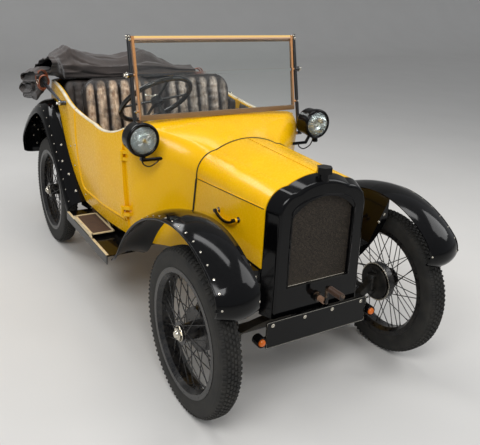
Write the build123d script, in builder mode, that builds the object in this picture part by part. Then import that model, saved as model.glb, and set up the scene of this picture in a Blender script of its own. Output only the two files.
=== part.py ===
from build123d import *

import os
from math import asin, cos, degrees, radians, sin

os.makedirs("parts", exist_ok=True)

# A 1920s open touring car with four seats, in millimetres.
# X is the car's left, Y its rear, Z up from the ground, and the driver sits at -X.
# Stations are distances behind the front axle; back() turns one into Y.

# Driving dimensions
wheelbase = 1905.0
track = 1016.0
front_axle_y = -1098.0
tyre_radius = 336.0
tyre_half_width = 42.0
rim_seat_radius = 243.0
body_wall = 26.0
panel = 4.0
door_gap = 5.0
pin_clearance = 0.05

wheel_x = track / 2
kingpin_x = 423.0
axle_z = tyre_radius


def back(station):
    """Y of a place this far behind the front axle."""
    return front_axle_y + station


def rod(start, end, radius, mode=Mode.ADD):
    """Round bar between two points, added to the part in work or cut from it."""
    run = Vector(end) - Vector(start)
    with BuildSketch(Plane(origin=start, z_dir=run)) as section:
        Circle(radius)
    extrude(section.sketch, amount=run.length, mode=mode)


def pipe(points, radius):
    """Bent round bar or pipe through the points, with a ball at each bend."""
    for start, end in zip(points, points[1:]):
        rod(start, end, radius)
    for bend in points[1:-1]:
        with Locations(bend):
            Sphere(radius)


def block(x, station, z):
    """Upright box between two values of X, of the station and of Z."""
    with BuildSketch(Plane.XY.offset(z[0])) as plan:
        with Locations(((x[0] + x[1]) / 2, back(sum(station) / 2))):
            Rectangle(abs(x[1] - x[0]), station[1] - station[0])
    extrude(plan.sketch, amount=z[1] - z[0])


column_foot = Vector(-150, back(380), 480)
wheel_centre = Vector(-260, back(900), 1070)


def save(builder, name):
    """Label one finished piece and write it to its own file."""
    builder.part.label = name
    export_step(builder.part, f"parts/{name}.step")


# Wire wheel, made about its own axis: +X is outward, and the rim's middle plane is at X = 0
hub_bore = 15.0
spoke_radius = 2.0
spokes_per_row = 20
drum_radius = 88.0
hub_profile = [
    (45, 0), (50, 0), (50, 24), (44, 30), (44, 46), (40, 46), (40, 32), (-22, 36), (-22, drum_radius),
    (-58, drum_radius), (-58, 82), (-28, 82), (-28, 24), (-50, 24), (-50, hub_bore + pin_clearance),
    (45, hub_bore + pin_clearance),
]
rim_profile = [
    (-41, 256), (-36, 256), (-36, rim_seat_radius), (36, rim_seat_radius), (36, 256), (41, 256),
    (41, 236), (22, 222), (-22, 222), (-41, 236),
]
# Each row of spokes: hub place along the axis, hub radius, rim place along the axis
spoke_rows = [(42.0, 41.0, 9.0), (-24.0, 72.0, -9.0)]
rim_spoke_radius = 226.0
spoke_lead = 38.0

with BuildPart() as wheel_form:
    with BuildSketch(Plane.XY):
        with BuildLine():
            Polyline(*hub_profile, close=True)
        make_face()
        with BuildLine():
            Polyline(*rim_profile, close=True)
        make_face()
    revolve(axis=Axis.X)
    for hub_x, hub_radius, rim_x in spoke_rows:
        for i in range(spokes_per_row):
            turn = 360 * i / spokes_per_row
            lead = spoke_lead if i % 2 else -spoke_lead
            foot = Vector(hub_x, hub_radius * cos(radians(turn)), hub_radius * sin(radians(turn)))
            tip = Vector(rim_x, rim_spoke_radius * cos(radians(turn + lead)),
                         rim_spoke_radius * sin(radians(turn + lead)))
            with BuildSketch(Plane(origin=foot, z_dir=tip - foot)):
                Circle(spoke_radius)
            spoke_length = (tip - foot).length
        extrude(amount=spoke_length)
    with BuildSketch(Plane.YZ.offset(48)):
        RegularPolygon(radius=26, side_count=6)
    extrude(amount=9)

with BuildPart() as tyre_form:
    with BuildSketch(Plane.XY):
        with BuildLine():
            Polyline((-36, 258), (-36, rim_seat_radius), (36, rim_seat_radius), (36, 258))
            ThreePointArc((36, 258), (tyre_half_width, 290), (33, 324))
            ThreePointArc((33, 324), (0, tyre_radius), (-33, 324))
            ThreePointArc((-33, 324), (-tyre_half_width, 290), (-36, 258))
        make_face()
    revolve(axis=Axis.X)

# Wheel places: name, centre X, station, height, turn about Z
spare_station = 2375.0
spare_z = 650.0
wheel_places = [
    ("front_left", wheel_x, 0.0, axle_z, 0.0),
    ("front_right", -wheel_x, 0.0, axle_z, 180.0),
    ("rear_left", wheel_x, wheelbase, axle_z, 0.0),
    ("rear_right", -wheel_x, wheelbase, axle_z, 180.0),
    ("spare", 0.0, spare_station, spare_z, 90.0),
]
for place, x, station, z, turn in wheel_places:
    spot = Location((x, back(station), z), (0, 0, turn))
    with BuildPart() as wheel:
        add(wheel_form.part.moved(spot))
    save(wheel, f"wheel_{place}")
    with BuildPart() as tyre:
        add(tyre_form.part.moved(spot))
    save(tyre, f"tyre_{place}")

# Front transverse spring over the axle, and the two quarter springs at the rear, each a pack of leaves
rail_bottom = 345.0
rail_depth = 62.0
rail_width = 40.0
nose_half = 95.0
tail_half = 330.0
rail_end = 1500.0
leaf_thickness = 7.0
leaf_radius = 1232.0
spring_width = 44.0
front_spring_half = 330.0
with BuildPart() as front_spring:
    for i in range(5):
        outer_radius = leaf_radius - i * leaf_thickness
        spread = degrees(asin((front_spring_half - 55 * i) / outer_radius))
        with BuildSketch(Plane.XZ.offset(-back(-40 - spring_width / 2))) as leaf:
            with BuildLine() as outline:
                leaf_centre = (0, rail_bottom - leaf_radius)
                upper = CenterArc(leaf_centre, outer_radius, 90 - spread, 2 * spread)
                lower = CenterArc(leaf_centre, outer_radius - leaf_thickness, 90 - spread, 2 * spread)
                Line(upper @ 0, lower @ 0)
                Line(upper @ 1, lower @ 1)
            make_face(outline.edges())
        extrude(leaf.sketch, amount=-spring_width)
save(front_spring, "front_spring")

rear_leaf_z = 384.0
with BuildPart() as rear_springs:
    for side in (1, -1):
        inner, outer = side * (tail_half - rail_width), side * tail_half
        block((inner, outer), (rail_end, rail_end + 40), (352, rear_leaf_z))
        for i in range(3):
            leaf_z = rear_leaf_z + i * leaf_thickness
            block((inner, outer), (rail_end, wheelbase + 45 - 110 * i), (leaf_z, leaf_z + leaf_thickness))
save(rear_springs, "rear_springs")

# Front axle: forged beam with kingpin bosses, spring perches and the A-shaped radius arm that locates it
kingpin_radius = 9.0
boss_radius = 16.0
boss_top = axle_z + 34
boss_bottom = axle_z - 34
arm_ball = (0.0, back(640), 330.0)
with BuildPart() as front_axle:
    with BuildSketch(Plane.XZ.offset(-back(-15))):
        with BuildLine():
            Polyline((-415, boss_bottom + 8), (-350, 266), (350, 266), (415, boss_bottom + 8),
                     (415, boss_top - 8), (340, 296), (-340, 296), (-415, boss_top - 8), close=True)
        make_face()
    extrude(amount=-30)
    with BuildSketch(Plane.XY.offset(boss_bottom)):
        with Locations((kingpin_x, back(0)), (-kingpin_x, back(0))):
            Circle(boss_radius)
    extrude(amount=boss_top - boss_bottom)
    for side in (1, -1):
        rod((side * 300, back(0), 300), arm_ball, 11)
        block((side * 312, side * 346), (-62, -10), (268, 306))
    with Locations(arm_ball):
        Sphere(18)
    add(front_spring.part, mode=Mode.SUBTRACT)
    with BuildSketch(Plane.XY.offset(boss_bottom - 1)):
        with Locations((kingpin_x, back(0)), (-kingpin_x, back(0))):
            Circle(kingpin_radius + pin_clearance)
    extrude(amount=boss_top - boss_bottom + 2, mode=Mode.SUBTRACT)
save(front_axle, "front_axle")

# Steering knuckles: kingpin, yoke, spindle, brake backplate and steering arm
arm_length = 110.0
arm_pin_radius = 7.0
lug = 12.0
backplate_x = wheel_x - 66
for name, side in (("left", 1), ("right", -1)):
    with BuildPart() as knuckle:
        with BuildSketch(Plane.XY.offset(boss_bottom - 0.3 - lug)):
            with Locations((side * kingpin_x, back(0))):
                Circle(kingpin_radius)
        extrude(amount=boss_top - boss_bottom + 0.6 + 2 * lug)
        for z in (boss_bottom - 0.3 - lug, boss_top + 0.3):
            with BuildSketch(Plane.XY.offset(z)):
                with Locations((side * kingpin_x, back(0))):
                    Circle(20)
                with Locations((side * (kingpin_x + 12), back(0))):
                    Rectangle(24, 34)
            extrude(amount=lug)
        with BuildSketch(Plane.YZ.offset(side * backplate_x)):
            with Locations((back(0), axle_z)):
                Circle(80)
        extrude(amount=side * 4)
        with BuildSketch(Plane.YZ.offset(side * backplate_x)):
            with Locations((back(0), axle_z)):
                Circle(hub_bore)
        extrude(amount=side * 106)
        with BuildSketch(Plane.XY.offset(boss_bottom - 0.3 - lug)):
            with Locations((side * kingpin_x, back(arm_length / 2))):
                Rectangle(22, arm_length)
            with Locations((side * kingpin_x, back(arm_length))):
                Circle(11)
        extrude(amount=lug)
        with BuildSketch(Plane.XY.offset(boss_bottom - 0.3 - lug)):
            with Locations((side * kingpin_x, back(arm_length))):
                Circle(arm_pin_radius)
        extrude(amount=-26)
        # Brake camshaft and its lever on the inner side of the backplate
        cam_z = axle_z + 58
        rod((side * (backplate_x - 16), back(24), cam_z), (side * backplate_x, back(24), cam_z), 8)
        block((side * (backplate_x - 14), side * (backplate_x - 8)), (-22, 30), (cam_z - 5, cam_z + 5))
    save(knuckle, f"knuckle_{name}")

# Track rod between the two steering arms
rod_z = boss_bottom - 0.3 - lug - 13
with BuildPart() as track_rod:
    rod((-kingpin_x, back(arm_length), rod_z), (kingpin_x, back(arm_length), rod_z), 8)
    with BuildSketch(Plane.XY.offset(rod_z - 10)):
        with Locations((-kingpin_x, back(arm_length)), (kingpin_x, back(arm_length))):
            Circle(14)
    extrude(amount=20)
    with BuildSketch(Plane.XY.offset(rod_z - 12)):
        with Locations((-kingpin_x, back(arm_length))):
            Circle(arm_pin_radius + pin_clearance)
        with Locations((kingpin_x, back(arm_length))):
            Circle(arm_pin_radius + 0.5)
    extrude(amount=24, mode=Mode.SUBTRACT)
save(track_rod, "track_rod")

# Rear axle: tubes, differential housing, torque tube, backplates and wheel spindles
with BuildPart() as rear_axle:
    rod((-(wheel_x - 64), back(wheelbase), axle_z), (wheel_x - 64, back(wheelbase), axle_z), 26)
    with BuildSketch(Plane.XY):
        with BuildLine():
            Polyline((-105, 0), (-80, 62), (-34, 112), (34, 112), (80, 62), (105, 0), close=True)
        make_face()
    casing = revolve(axis=Axis.X, mode=Mode.PRIVATE)
    add(casing.moved(Location((0, back(wheelbase), axle_z))))
    rod((0, back(wheelbase), axle_z), (0, back(960), axle_z + 14), 27)
    for side in (1, -1):
        with BuildSketch(Plane.YZ.offset(side * backplate_x)):
            with Locations((back(wheelbase), axle_z)):
                Circle(80)
        extrude(amount=side * 4)
        with BuildSketch(Plane.YZ.offset(side * backplate_x)):
            with Locations((back(wheelbase), axle_z)):
                Circle(hub_bore)
        extrude(amount=side * 106)
        with BuildSketch(Plane.XY.offset(axle_z)):
            with Locations((side * (tail_half - rail_width / 2), back(wheelbase))):
                Rectangle(40, 60)
        extrude(amount=384 - axle_z)
save(rear_axle, "rear_axle")

# Engine and gearbox as one plain block
with BuildPart() as engine_block:
    with BuildSketch(Plane.XY.offset(430)):
        with Locations((0, back(245))):
            Rectangle(200, 370)
    extrude(amount=330)
    with BuildSketch(Plane.XY.offset(rail_bottom + rail_depth)):
        with Locations((0, back(245))):
            Rectangle(230, 380)
    extrude(amount=50)
    with BuildSketch(Plane.XY.offset(rail_bottom + rail_depth)):
        with Locations((0, back(570))):
            Rectangle(170, 280)
    extrude(amount=100)
    # Lug under the gearbox for the ball of the radius arms
    block((-24, 24), (622, 658), (330, rail_bottom + rail_depth))
    add(front_axle.part, mode=Mode.SUBTRACT)
save(engine_block, "engine_block")

# Exhaust pipe and silencer on the car's left, from the engine's side down past the rail and under the floor
with BuildPart() as exhaust:
    pipe([(100, back(260), 600), (214, back(300), 520), (214, back(400), 330), (200, back(560), 318),
          (200, back(1000), 300)], 16)
    rod((200, back(990), 300), (200, back(1420), 300), 45)
    rod((200, back(1420), 300), (200, back(1640), 282), 14)
    add(engine_block.part, mode=Mode.SUBTRACT)
save(exhaust, "exhaust")

# Chassis: two channel rails that spread from the nose to the rear springs, with cross members,
# body mounts, the radiator bearer and the irons that carry the running boards
board_bottom = 367.0
sill_z = 430.0
channel_wall = 5.0
rail_top = rail_bottom + rail_depth


def rail_half(station):
    """Half width of the frame over the outsides of the rails at a station."""
    return nose_half + (tail_half - nose_half) * min((station + 60) / 1410, 1)


def rail_plan(outer_inset, inner_inset):
    """Plan of both rails between two insets from their outsides."""
    with BuildSketch(Plane.XY.offset(rail_bottom)) as plan:
        for side in (1, -1):
            with BuildLine() as outline:
                Polyline((side * (nose_half - inner_inset), back(-60)), (side * (nose_half - outer_inset), back(-60)),
                         (side * (tail_half - outer_inset), back(1350)),
                         (side * (tail_half - outer_inset), back(rail_end)),
                         (side * (tail_half - inner_inset), back(rail_end)),
                         (side * (tail_half - inner_inset), back(1350)), close=True)
            make_face(outline.edges())
    return plan.sketch


with BuildPart() as chassis_frame:
    extrude(rail_plan(0, rail_width), amount=rail_depth)
    hollow = rail_plan(channel_wall, rail_width + 1).moved(Location((0, 0, channel_wall)))
    extrude(hollow, amount=rail_depth - 2 * channel_wall, mode=Mode.SUBTRACT)
    # Cross members: station, half length
    for station, half in ((-40, 91), (520, 180), (920, 250), (1440, 322)):
        block((-half, half), (station - 20, station + 20), (rail_top - 24, rail_top))
    # Clamp of the front spring, and the bearer under the radiator
    block((-60, 60), (-62, -18), (335, rail_top - 24))
    block((-nose_half, nose_half), (-100, -59), (rail_bottom, 375))
    for side in (1, -1):
        # Body mounts on the rails
        for station in (500, 820, 1150, 1440):
            middle = side * (rail_half(station) - rail_width / 2)
            block((middle - 18, middle + 18), (station - 25, station + 25), (rail_top, sill_z))
        # Irons out to the running boards
        for station in (800, 1290):
            block((side * (rail_half(station) - 8), side * 560), (station - 15, station + 15),
                  (board_bottom - 12, board_bottom))
    # Housing of the torque tube's ball, and the hangers of the exhaust
    rod((0, back(925), axle_z + 14), (0, back(960), axle_z + 14), 34)
    block((-15, 15), (925, 940), (axle_z + 14, rail_top - 20))
    for station in (920, 1440):
        block((196, 204), (station - 8, station + 8), (300, rail_top - 20))
    for neighbour in (front_spring, rear_axle, exhaust):
        add(neighbour.part, mode=Mode.SUBTRACT)
save(chassis_frame, "chassis_frame")

# Body form. Its plan outline, half width and station with the corner radius at each point
floor_z = 452.0
rim_z = 1010.0
front_station = 775.0
tail_station = 2290.0
plan_points = [
    (482.0, front_station, 0.0),
    (516.0, 1020.0, 1200.0),
    (527.0, 1500.0, 1500.0),
    (440.0, tail_station, 230.0),
]
# Body sections from sill to rim: height, inset of the outline there
body_levels = [(sill_z, 32.0), (640.0, 4.0), (1030.0, 6.0)]


def body_plan(inset):
    """Closed plan outline of the body, drawn in from the widest one by the inset."""
    half = [(x - inset, back(min(s, tail_station - inset)), r) for x, s, r in plan_points]
    loop = half + [(-x, y, r) for x, y, r in reversed(half)]
    with BuildLine() as outline:
        FilletPolyline(*[(x, y) for x, y, r in loop], radius=[r for x, y, r in loop], close=True)
    make_face(outline.edges())


with BuildPart() as body_form:
    for z, inset in body_levels:
        with BuildSketch(Plane.XY.offset(z)):
            body_plan(inset)
    loft()

with BuildPart() as body_hollow:
    for z, inset in body_levels:
        with BuildSketch(Plane.XY.offset(z)):
            body_plan(inset + body_wall)
    loft()
    with BuildSketch(Plane.XY.offset(floor_z)):
        with Locations((0, back(1500))):
            Rectangle(1400, 2400)
    extrude(amount=rim_z, mode=Mode.INTERSECT)

# Scuttle sections: station, bottom half width, shoulder half width and height,
# top half width and height, crown height
scuttle_sections = [
    (460.0, 262.0, 256.0, 800.0, 160.0, 915.0, 955.0),
    (600.0, 352.0, 368.0, 850.0, 285.0, 962.0, 990.0),
    (705.0, 430.0, 462.0, 905.0, 400.0, 996.0, 1016.0),
    (front_station, 450.0, 480.0, 935.0, 430.0, 1004.0, 1024.0),
]


def arch(bottom_half, shoulder_half, shoulder_z, top_half, top_z, crown_z, bottom_z, inset=0.0):
    """Closed front-view outline with upright sides, rounded shoulders and a low crown."""
    bw, sw, tw = bottom_half - inset, shoulder_half - inset, top_half - inset * 0.5
    sz, tz, cz = shoulder_z - inset * 0.3, top_z - inset * 0.9, crown_z - inset
    mid_x = tw + (sw - tw) * 0.76
    mid_z = sz + (tz - sz) * 0.66
    with BuildLine() as outline:
        Line((-bw, bottom_z), (-sw, sz))
        ThreePointArc((-sw, sz), (-mid_x, mid_z), (-tw, tz))
        ThreePointArc((-tw, tz), (0, cz), (tw, tz))
        ThreePointArc((tw, tz), (mid_x, mid_z), (sw, sz))
        Line((sw, sz), (bw, bottom_z))
        Line((bw, bottom_z), (-bw, bottom_z))
    make_face(outline.edges())


board_station = 706.0
dash_bottom = 868.0
with BuildPart() as scuttle_form:
    for station, *shape in scuttle_sections:
        with BuildSketch(Plane.XZ.offset(-back(station))):
            arch(*shape, sill_z)
    loft()

with BuildPart() as scuttle_hollow:
    for station, *shape in scuttle_sections:
        with BuildSketch(Plane.XZ.offset(-back(station))):
            arch(*shape, floor_z, 16.0)
    loft()


door_front = front_station + door_gap


def door_outline(gap):
    """Side view of the door, its lower rear corner rounded, grown by the gap."""
    with BuildSketch(Plane.YZ) as side_view:
        with BuildLine():
            FilletPolyline((back(door_front), 508), (back(door_front), 1200), (back(1410), 1200),
                           (back(1393), 935), (back(1348), 508), radius=[6, 0, 0, 900, 60], close=True)
        make_face()
        if gap:
            offset(amount=gap)
    return side_view.sketch


# Cockpit edge seen from the side: scuttle, lowest place at the doors, and the rise to the tail
cockpit_edge = [(735.0, 990.0), (840.0, 940.0), (1090.0, 926.0), (1450.0, 952.0), (1750.0, 989.0),
                (2050.0, 999.0)]
kick_station = 1560.0
kick_z = 502.0
with BuildPart() as edge_form:
    with BuildSketch(Plane.YZ.offset(-700)):
        with BuildLine():
            edge = [(back(station), z) for station, z in cockpit_edge]
            Polyline(edge[0], (back(735), 1100), (back(300), 1100), (back(300), sill_z),
                     (back(2190), sill_z), (back(2310), 640), (back(2310), 990), edge[5])
            ThreePointArc(edge[0], edge[1], edge[2])
            TangentArc(edge[2], edge[3], tangent=(1, 0.01))
            ThreePointArc(edge[3], edge[4], edge[5])
        make_face()
    extrude(amount=1400)

with BuildPart() as kick:
    with BuildSketch(Plane.XY.offset(floor_z - 100)):
        with Locations((0, back((kick_station + 2400) / 2))):
            Rectangle(1400, 2400 - kick_station)
    extrude(amount=kick_z - floor_z + 100)

with BuildPart() as cockpit_form:
    add(body_hollow.part)
    add(kick.part, mode=Mode.SUBTRACT)

with BuildPart() as body_tub:
    add(body_form.part)
    add(edge_form.part, mode=Mode.INTERSECT)
    add(cockpit_form.part, mode=Mode.SUBTRACT)
    # Raised floor over the rear axle
    with BuildSketch(Plane.XY.offset(sill_z - 50)):
        with Locations((0, back((kick_station + 24 + 2230) / 2))):
            Rectangle(860, 2230 - kick_station - 24)
    extrude(amount=kick_z - sill_z + 50 - 22, mode=Mode.SUBTRACT)
    for side in (1, -1):
        # Wheel house inside the body, then the arch cut from outside
        with BuildSketch(Plane.YZ.offset(side * 440)):
            with Locations((back(wheelbase), axle_z)):
                Circle(412)
        extrude(amount=side * 52)
        with BuildSketch(Plane.YZ.offset(side * 452)):
            with Locations((back(wheelbase), axle_z)):
                Circle(400)
        extrude(amount=side * 150, mode=Mode.SUBTRACT)
    with BuildSketch(Plane.XY.offset(sill_z)):
        with Locations((0, back(1500))):
            Rectangle(1400, 2400)
    extrude(amount=-600, mode=Mode.SUBTRACT)
    add(extrude(door_outline(door_gap), 700, both=True, mode=Mode.PRIVATE), mode=Mode.SUBTRACT)
    add(body_form.part, mode=Mode.INTERSECT)
    # Carrier of the spare wheel on the tail
    for far, radius in ((2300, 70), (spare_station - 58, 40), (spare_station + 40, hub_bore)):
        rod((0, back(2280), spare_z), (0, back(far), spare_z), radius)
save(body_tub, "body_tub")

# Door hinges: barrels on the outside of the front edge, turning on pins fixed to the scuttle
hinge_x = 492.0
hinge_station = 770.0
hinge_heights = (568.0, 845.0)
hinge_pin = 5.0
barrel = 9.0
# Leaves: length along the car, and half widths of the body where the leaf ends
door_leaf = (34.0, 486.0, 462.0)
scuttle_leaf = (-30.0, 468.0, 438.0)


def hinge_leaf(side, z, depth, run, outer, inner):
    """Flat hinge leaf from the barrel along the body side, let into its skin."""
    x, y = side * hinge_x, back(hinge_station)
    with BuildSketch(Plane.XY.offset(z)) as leaf:
        with BuildLine():
            Polyline((x - side * 8, y), (x + side * 6, y), (side * outer, y + run),
                     (side * inner, y + run), close=True)
        make_face()
    extrude(leaf.sketch, amount=depth)


def hinge_disc(side, z, depth, radius, mode=Mode.ADD):
    """Cylinder on the hinge axis."""
    with BuildSketch(Plane.XY.offset(z)) as disc:
        with Locations((side * hinge_x, back(hinge_station))):
            Circle(radius)
    extrude(disc.sketch, amount=depth, mode=mode)


with BuildPart() as scuttle:
    add(scuttle_form.part)
    add(scuttle_hollow.part, mode=Mode.SUBTRACT)
    # Bulkhead behind the engine
    with BuildSketch(Plane.XZ.offset(-back(462))):
        arch(*scuttle_sections[0][1:], sill_z, 1.0)
    extrude(amount=-10)
    # Instrument board under the rear edge
    with BuildSketch(Plane.XZ.offset(-back(board_station))):
        arch(*scuttle_sections[2][1:], dash_bottom, 1.0)
    extrude(amount=-12)
    rod(column_foot, wheel_centre, 22, Mode.SUBTRACT)
    # Tunnel for the gearbox
    with BuildSketch(Plane.XZ.offset(-back(440))):
        with Locations((0, 470)):
            Rectangle(190, 110)
    extrude(amount=-400, mode=Mode.SUBTRACT)
    add(edge_form.part, mode=Mode.INTERSECT)
    for side in (1, -1):
        for z in hinge_heights:
            hinge_leaf(side, z - 24, 15.7, *scuttle_leaf)
            hinge_leaf(side, z + 8.3, 15.7, *scuttle_leaf)
            hinge_disc(side, z - 24, 15.7, barrel)
            hinge_disc(side, z + 8.3, 15.7, barrel)
            hinge_disc(side, z - 24, 48, hinge_pin)
save(scuttle, "scuttle")

for name, side in (("left", 1), ("right", -1)):
    with BuildPart() as door:
        add(body_form.part)
        add(body_hollow.part, mode=Mode.SUBTRACT)
        add(extrude(door_outline(0), side * 700, mode=Mode.PRIVATE), mode=Mode.INTERSECT)
        add(edge_form.part, mode=Mode.INTERSECT)
        for z in hinge_heights:
            hinge_leaf(side, z - 8, 16, *door_leaf)
            hinge_disc(side, z - 8, 16, barrel)
            hinge_disc(side, z - 9, 18, hinge_pin + pin_clearance, Mode.SUBTRACT)
    save(door, f"door_{name}")

# Bonnet: two halves on a centre hinge line, each with its side panel
bonnet_front = -62.0
bonnet_rear = 454.0
bonnet_bottom_front = 570.0
bonnet_bottom_rear = 612.0
bonnet_sections = [
    (bonnet_front, 240.0, 236.0, 795.0, 140.0, 900.0, 936.0),
    (bonnet_rear, 271.0, 256.0, 800.0, 160.0, 915.0, 955.0),
]
bonnet_skin = 5.0
with BuildPart() as bonnet_form:
    for (station, *shape), bottom in zip(bonnet_sections, (bonnet_bottom_front, bonnet_bottom_rear)):
        with BuildSketch(Plane.XZ.offset(-back(station))):
            arch(*shape, bottom)
    loft()
    for (station, *shape), bottom in zip(bonnet_sections, (bonnet_bottom_front, bonnet_bottom_rear)):
        with BuildSketch(Plane.XZ.offset(-back(station))):
            arch(*shape, bottom, bonnet_skin)
    loft(mode=Mode.SUBTRACT)
for name, side in (("left", 1), ("right", -1)):
    with BuildPart() as bonnet:
        add(bonnet_form.part)
        with BuildSketch(Plane.XY.offset(bonnet_bottom_front - 10)):
            with Locations((side * (3 + 200), back(200))):
                Rectangle(400, 700)
        extrude(amount=400, mode=Mode.INTERSECT)
        # Curved pull handle on two feet on the side panel
        for foot, station, z in ((242, 108, 716), (248, 258, 710)):
            rod((side * foot, back(station), z), (side * 276, back(station), z), 8)
        with BuildSketch(Plane.YZ.offset(side * 262)):
            with BuildLine():
                ThreePointArc((back(104), 710), (back(182), 684), (back(262), 704))
                Line((back(262), 704), (back(258), 714))
                ThreePointArc((back(258), 714), (back(182), 694), (back(108), 720))
                Line((back(108), 720), (back(104), 710))
            make_face()
        extrude(amount=side * 11)
    save(bonnet, f"bonnet_{name}")

# Radiator shell with its arched opening, and the core behind it
shell_front = -128.0
shell_rear = -68.0
shell_bottom = 375.0
shell_round = 16.0
shell_sections = [
    (shell_front, 212.0, 208.0, 790.0, 118.0, 888.0, 920.0),
    (shell_rear, 240.0, 236.0, 795.0, 140.0, 900.0, 936.0),
]
grille_half = 150.0
grille_bottom = 495.0
grille_side_top = 790.0
grille_top = 858.0
with BuildPart() as radiator_shell:
    for station, *shape in shell_sections:
        with BuildSketch(Plane.XZ.offset(-back(station))):
            arch(*shape, shell_bottom)
    loft()
    front_face = radiator_shell.faces().sort_by(Axis.Y)[0]
    fillet(front_face.edges().sort_by(Axis.Z)[1:], radius=shell_round)
    for station, *shape in shell_sections:
        with BuildSketch(Plane.XZ.offset(-back(station) - 14)):
            arch(*shape, shell_bottom + 8, 9.0)
    loft(mode=Mode.SUBTRACT)
    with BuildSketch(Plane.XZ.offset(-back(shell_front - 20))):
        with BuildLine():
            Polyline((-grille_half, grille_side_top), (-grille_half, grille_bottom),
                     (grille_half, grille_bottom), (grille_half, grille_side_top))
            ThreePointArc((grille_half, grille_side_top), (0, grille_top), (-grille_half, grille_side_top))
        make_face()
    extrude(amount=-60, mode=Mode.SUBTRACT)
    # Filler neck and cap
    with BuildSketch(Plane.XY.offset(912)):
        with Locations((0, back(-106))):
            Circle(22)
    extrude(amount=33)
    with BuildSketch(Plane.XY.offset(945)):
        with Locations((0, back(-106))):
            RegularPolygon(radius=32, side_count=6)
    extrude(amount=26)
save(radiator_shell, "radiator_shell")

with BuildPart() as radiator_core:
    with BuildSketch(Plane.XZ.offset(-back(shell_front + 14))):
        with BuildLine():
            Polyline((-165, grille_side_top - 4), (-165, 470), (165, 470), (165, grille_side_top - 4))
            ThreePointArc((165, grille_side_top - 4), (0, grille_top + 10), (-165, grille_side_top - 4))
        make_face()
    extrude(amount=-40)
save(radiator_core, "radiator_core")

# Front wings: a domed strip swept over the wheel, with a rolled nose, the inner valance down to the bonnet
# and the upright apron between the wing and the radiator shell
wing_outer = 578.0
front_wing_inner = 408.0
nose_station = -318.0
nose_corner = 58.0
nose_edge = -345.0
shelf = 75.0


def bonnet_foot(station):
    """Half width and height of the bonnet's bottom edge at a station."""
    run = (station - bonnet_front) / (bonnet_rear - bonnet_front)
    return (240.0 + 31.0 * run, bonnet_bottom_front + (bonnet_bottom_rear - bonnet_bottom_front) * run)


with BuildPart() as front_wings:
    with BuildLine(Plane.YZ) as front_path:
        over = ThreePointArc((back(600), 448), (back(340), 684), (back(60), 770))
        lead = over % 0
        TangentArc((back(600), 448), (back(702), 352), tangent=(-lead.Y, -lead.Z))
        lead = over % 1
        nose = TangentArc((back(60), 770), (back(-290), 655), tangent=(lead.Y, lead.Z))
        lead = nose % 1
        lip = TangentArc((back(-290), 655), (back(nose_station), 590), tangent=(lead.Y, lead.Z))
        lead = lip % 1
        TangentArc((back(nose_station), 590), (back(-304), 562), tangent=(lead.Y, lead.Z))
    path_edges = front_path.wire()
    with BuildSketch(Plane(origin=path_edges @ 0, x_dir=(1, 0, 0), z_dir=path_edges % 0)) as wing_section:
        with BuildLine():
            ThreePointArc((front_wing_inner, 6), (490, 25), (wing_outer, 0))
            Line((wing_outer, 0), (wing_outer, -panel))
            ThreePointArc((wing_outer, -panel), (490, 25 - panel), (front_wing_inner, 6 - panel))
            Line((front_wing_inner, 6 - panel), (front_wing_inner, 6))
        make_face()
    sweep(wing_section.sketch, path=path_edges)
    # Rounded corners of the nose in plan
    with BuildSketch(Plane.XY.offset(300)):
        with Locations((493, back(nose_edge + nose_corner))):
            Rectangle(220, 2 * nose_corner)
        with Locations((493, back(nose_edge + 400))):
            RectangleRounded(186, 800, nose_corner, mode=Mode.SUBTRACT)
    extrude(amount=600, mode=Mode.SUBTRACT)
    # Valance: sheet from the bonnet's foot up to the wing's inner edge, along the path from rear to front
    seams = [over @ 0.27, over @ 0.5, over @ 0.75, over @ 1, nose @ 0.33]
    for place in seams:
        foot_half, foot_z = bonnet_foot(place.Y - front_axle_y)
        with BuildSketch(Plane.XZ.offset(-place.Y)):
            with BuildLine():
                Polyline((foot_half - 8, foot_z - 7), (foot_half + shelf, foot_z + 10),
                         (front_wing_inner + 4, place.Z + 6), (front_wing_inner + 4, place.Z + 2),
                         (foot_half + shelf + 3, foot_z + 6), (foot_half - 8, foot_z - 11), close=True)
            make_face()
    loft()
    # Apron
    apron_top = seams[-1].Z
    with BuildSketch(Plane.XZ.offset(-seams[-1].Y)):
        with BuildLine():
            Polyline((404, 668), (front_wing_inner + 3, 690), (front_wing_inner + 3, apron_top + 4),
                     (foot_half + shelf, foot_z + 8), (foot_half - 4, foot_z - 8), (foot_half - 4, 506))
            ThreePointArc((foot_half - 4, 506), (332, 574), (404, 668))
        make_face()
    extrude(amount=-panel)
    mirror(about=Plane.YZ)
    add(scuttle_form.part, mode=Mode.SUBTRACT)
save(front_wings, "front_wings")

# Running boards with a turned-down outer edge, the side valance up to the sill, the step tray by the door
# and the arched kick plate behind it
board_top = 372.0
board_front = 716.0
board_rear = 1378.0
tray = (950.0, 1240.0)
with BuildPart() as running_boards:
    for side in (1, -1):
        with BuildSketch(Plane.XZ.offset(-back(board_front))):
            with BuildLine():
                Polyline((side * 448, board_top), (side * 594, board_top), (side * 594, board_top - 44),
                         (side * 590, board_top - 44), (side * 590, board_bottom),
                         (side * 448, board_bottom), close=True)
            make_face()
        extrude(amount=board_front - board_rear)
        block((side * 450, side * 454), (board_front, board_rear), (board_top, sill_z))
        block((side * 466, side * 590), tray, (board_top, board_top + 18))
        with BuildSketch(Plane.YZ.offset(side * 454)):
            with BuildLine():
                ThreePointArc((back(1030), 384), (back(1190), 424), (back(1350), 384))
                Polyline((back(1350), 384), (back(1350), board_top), (back(1030), board_top),
                         (back(1030), 384))
            make_face()
        extrude(amount=side * 5)
save(running_boards, "running_boards")

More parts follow.
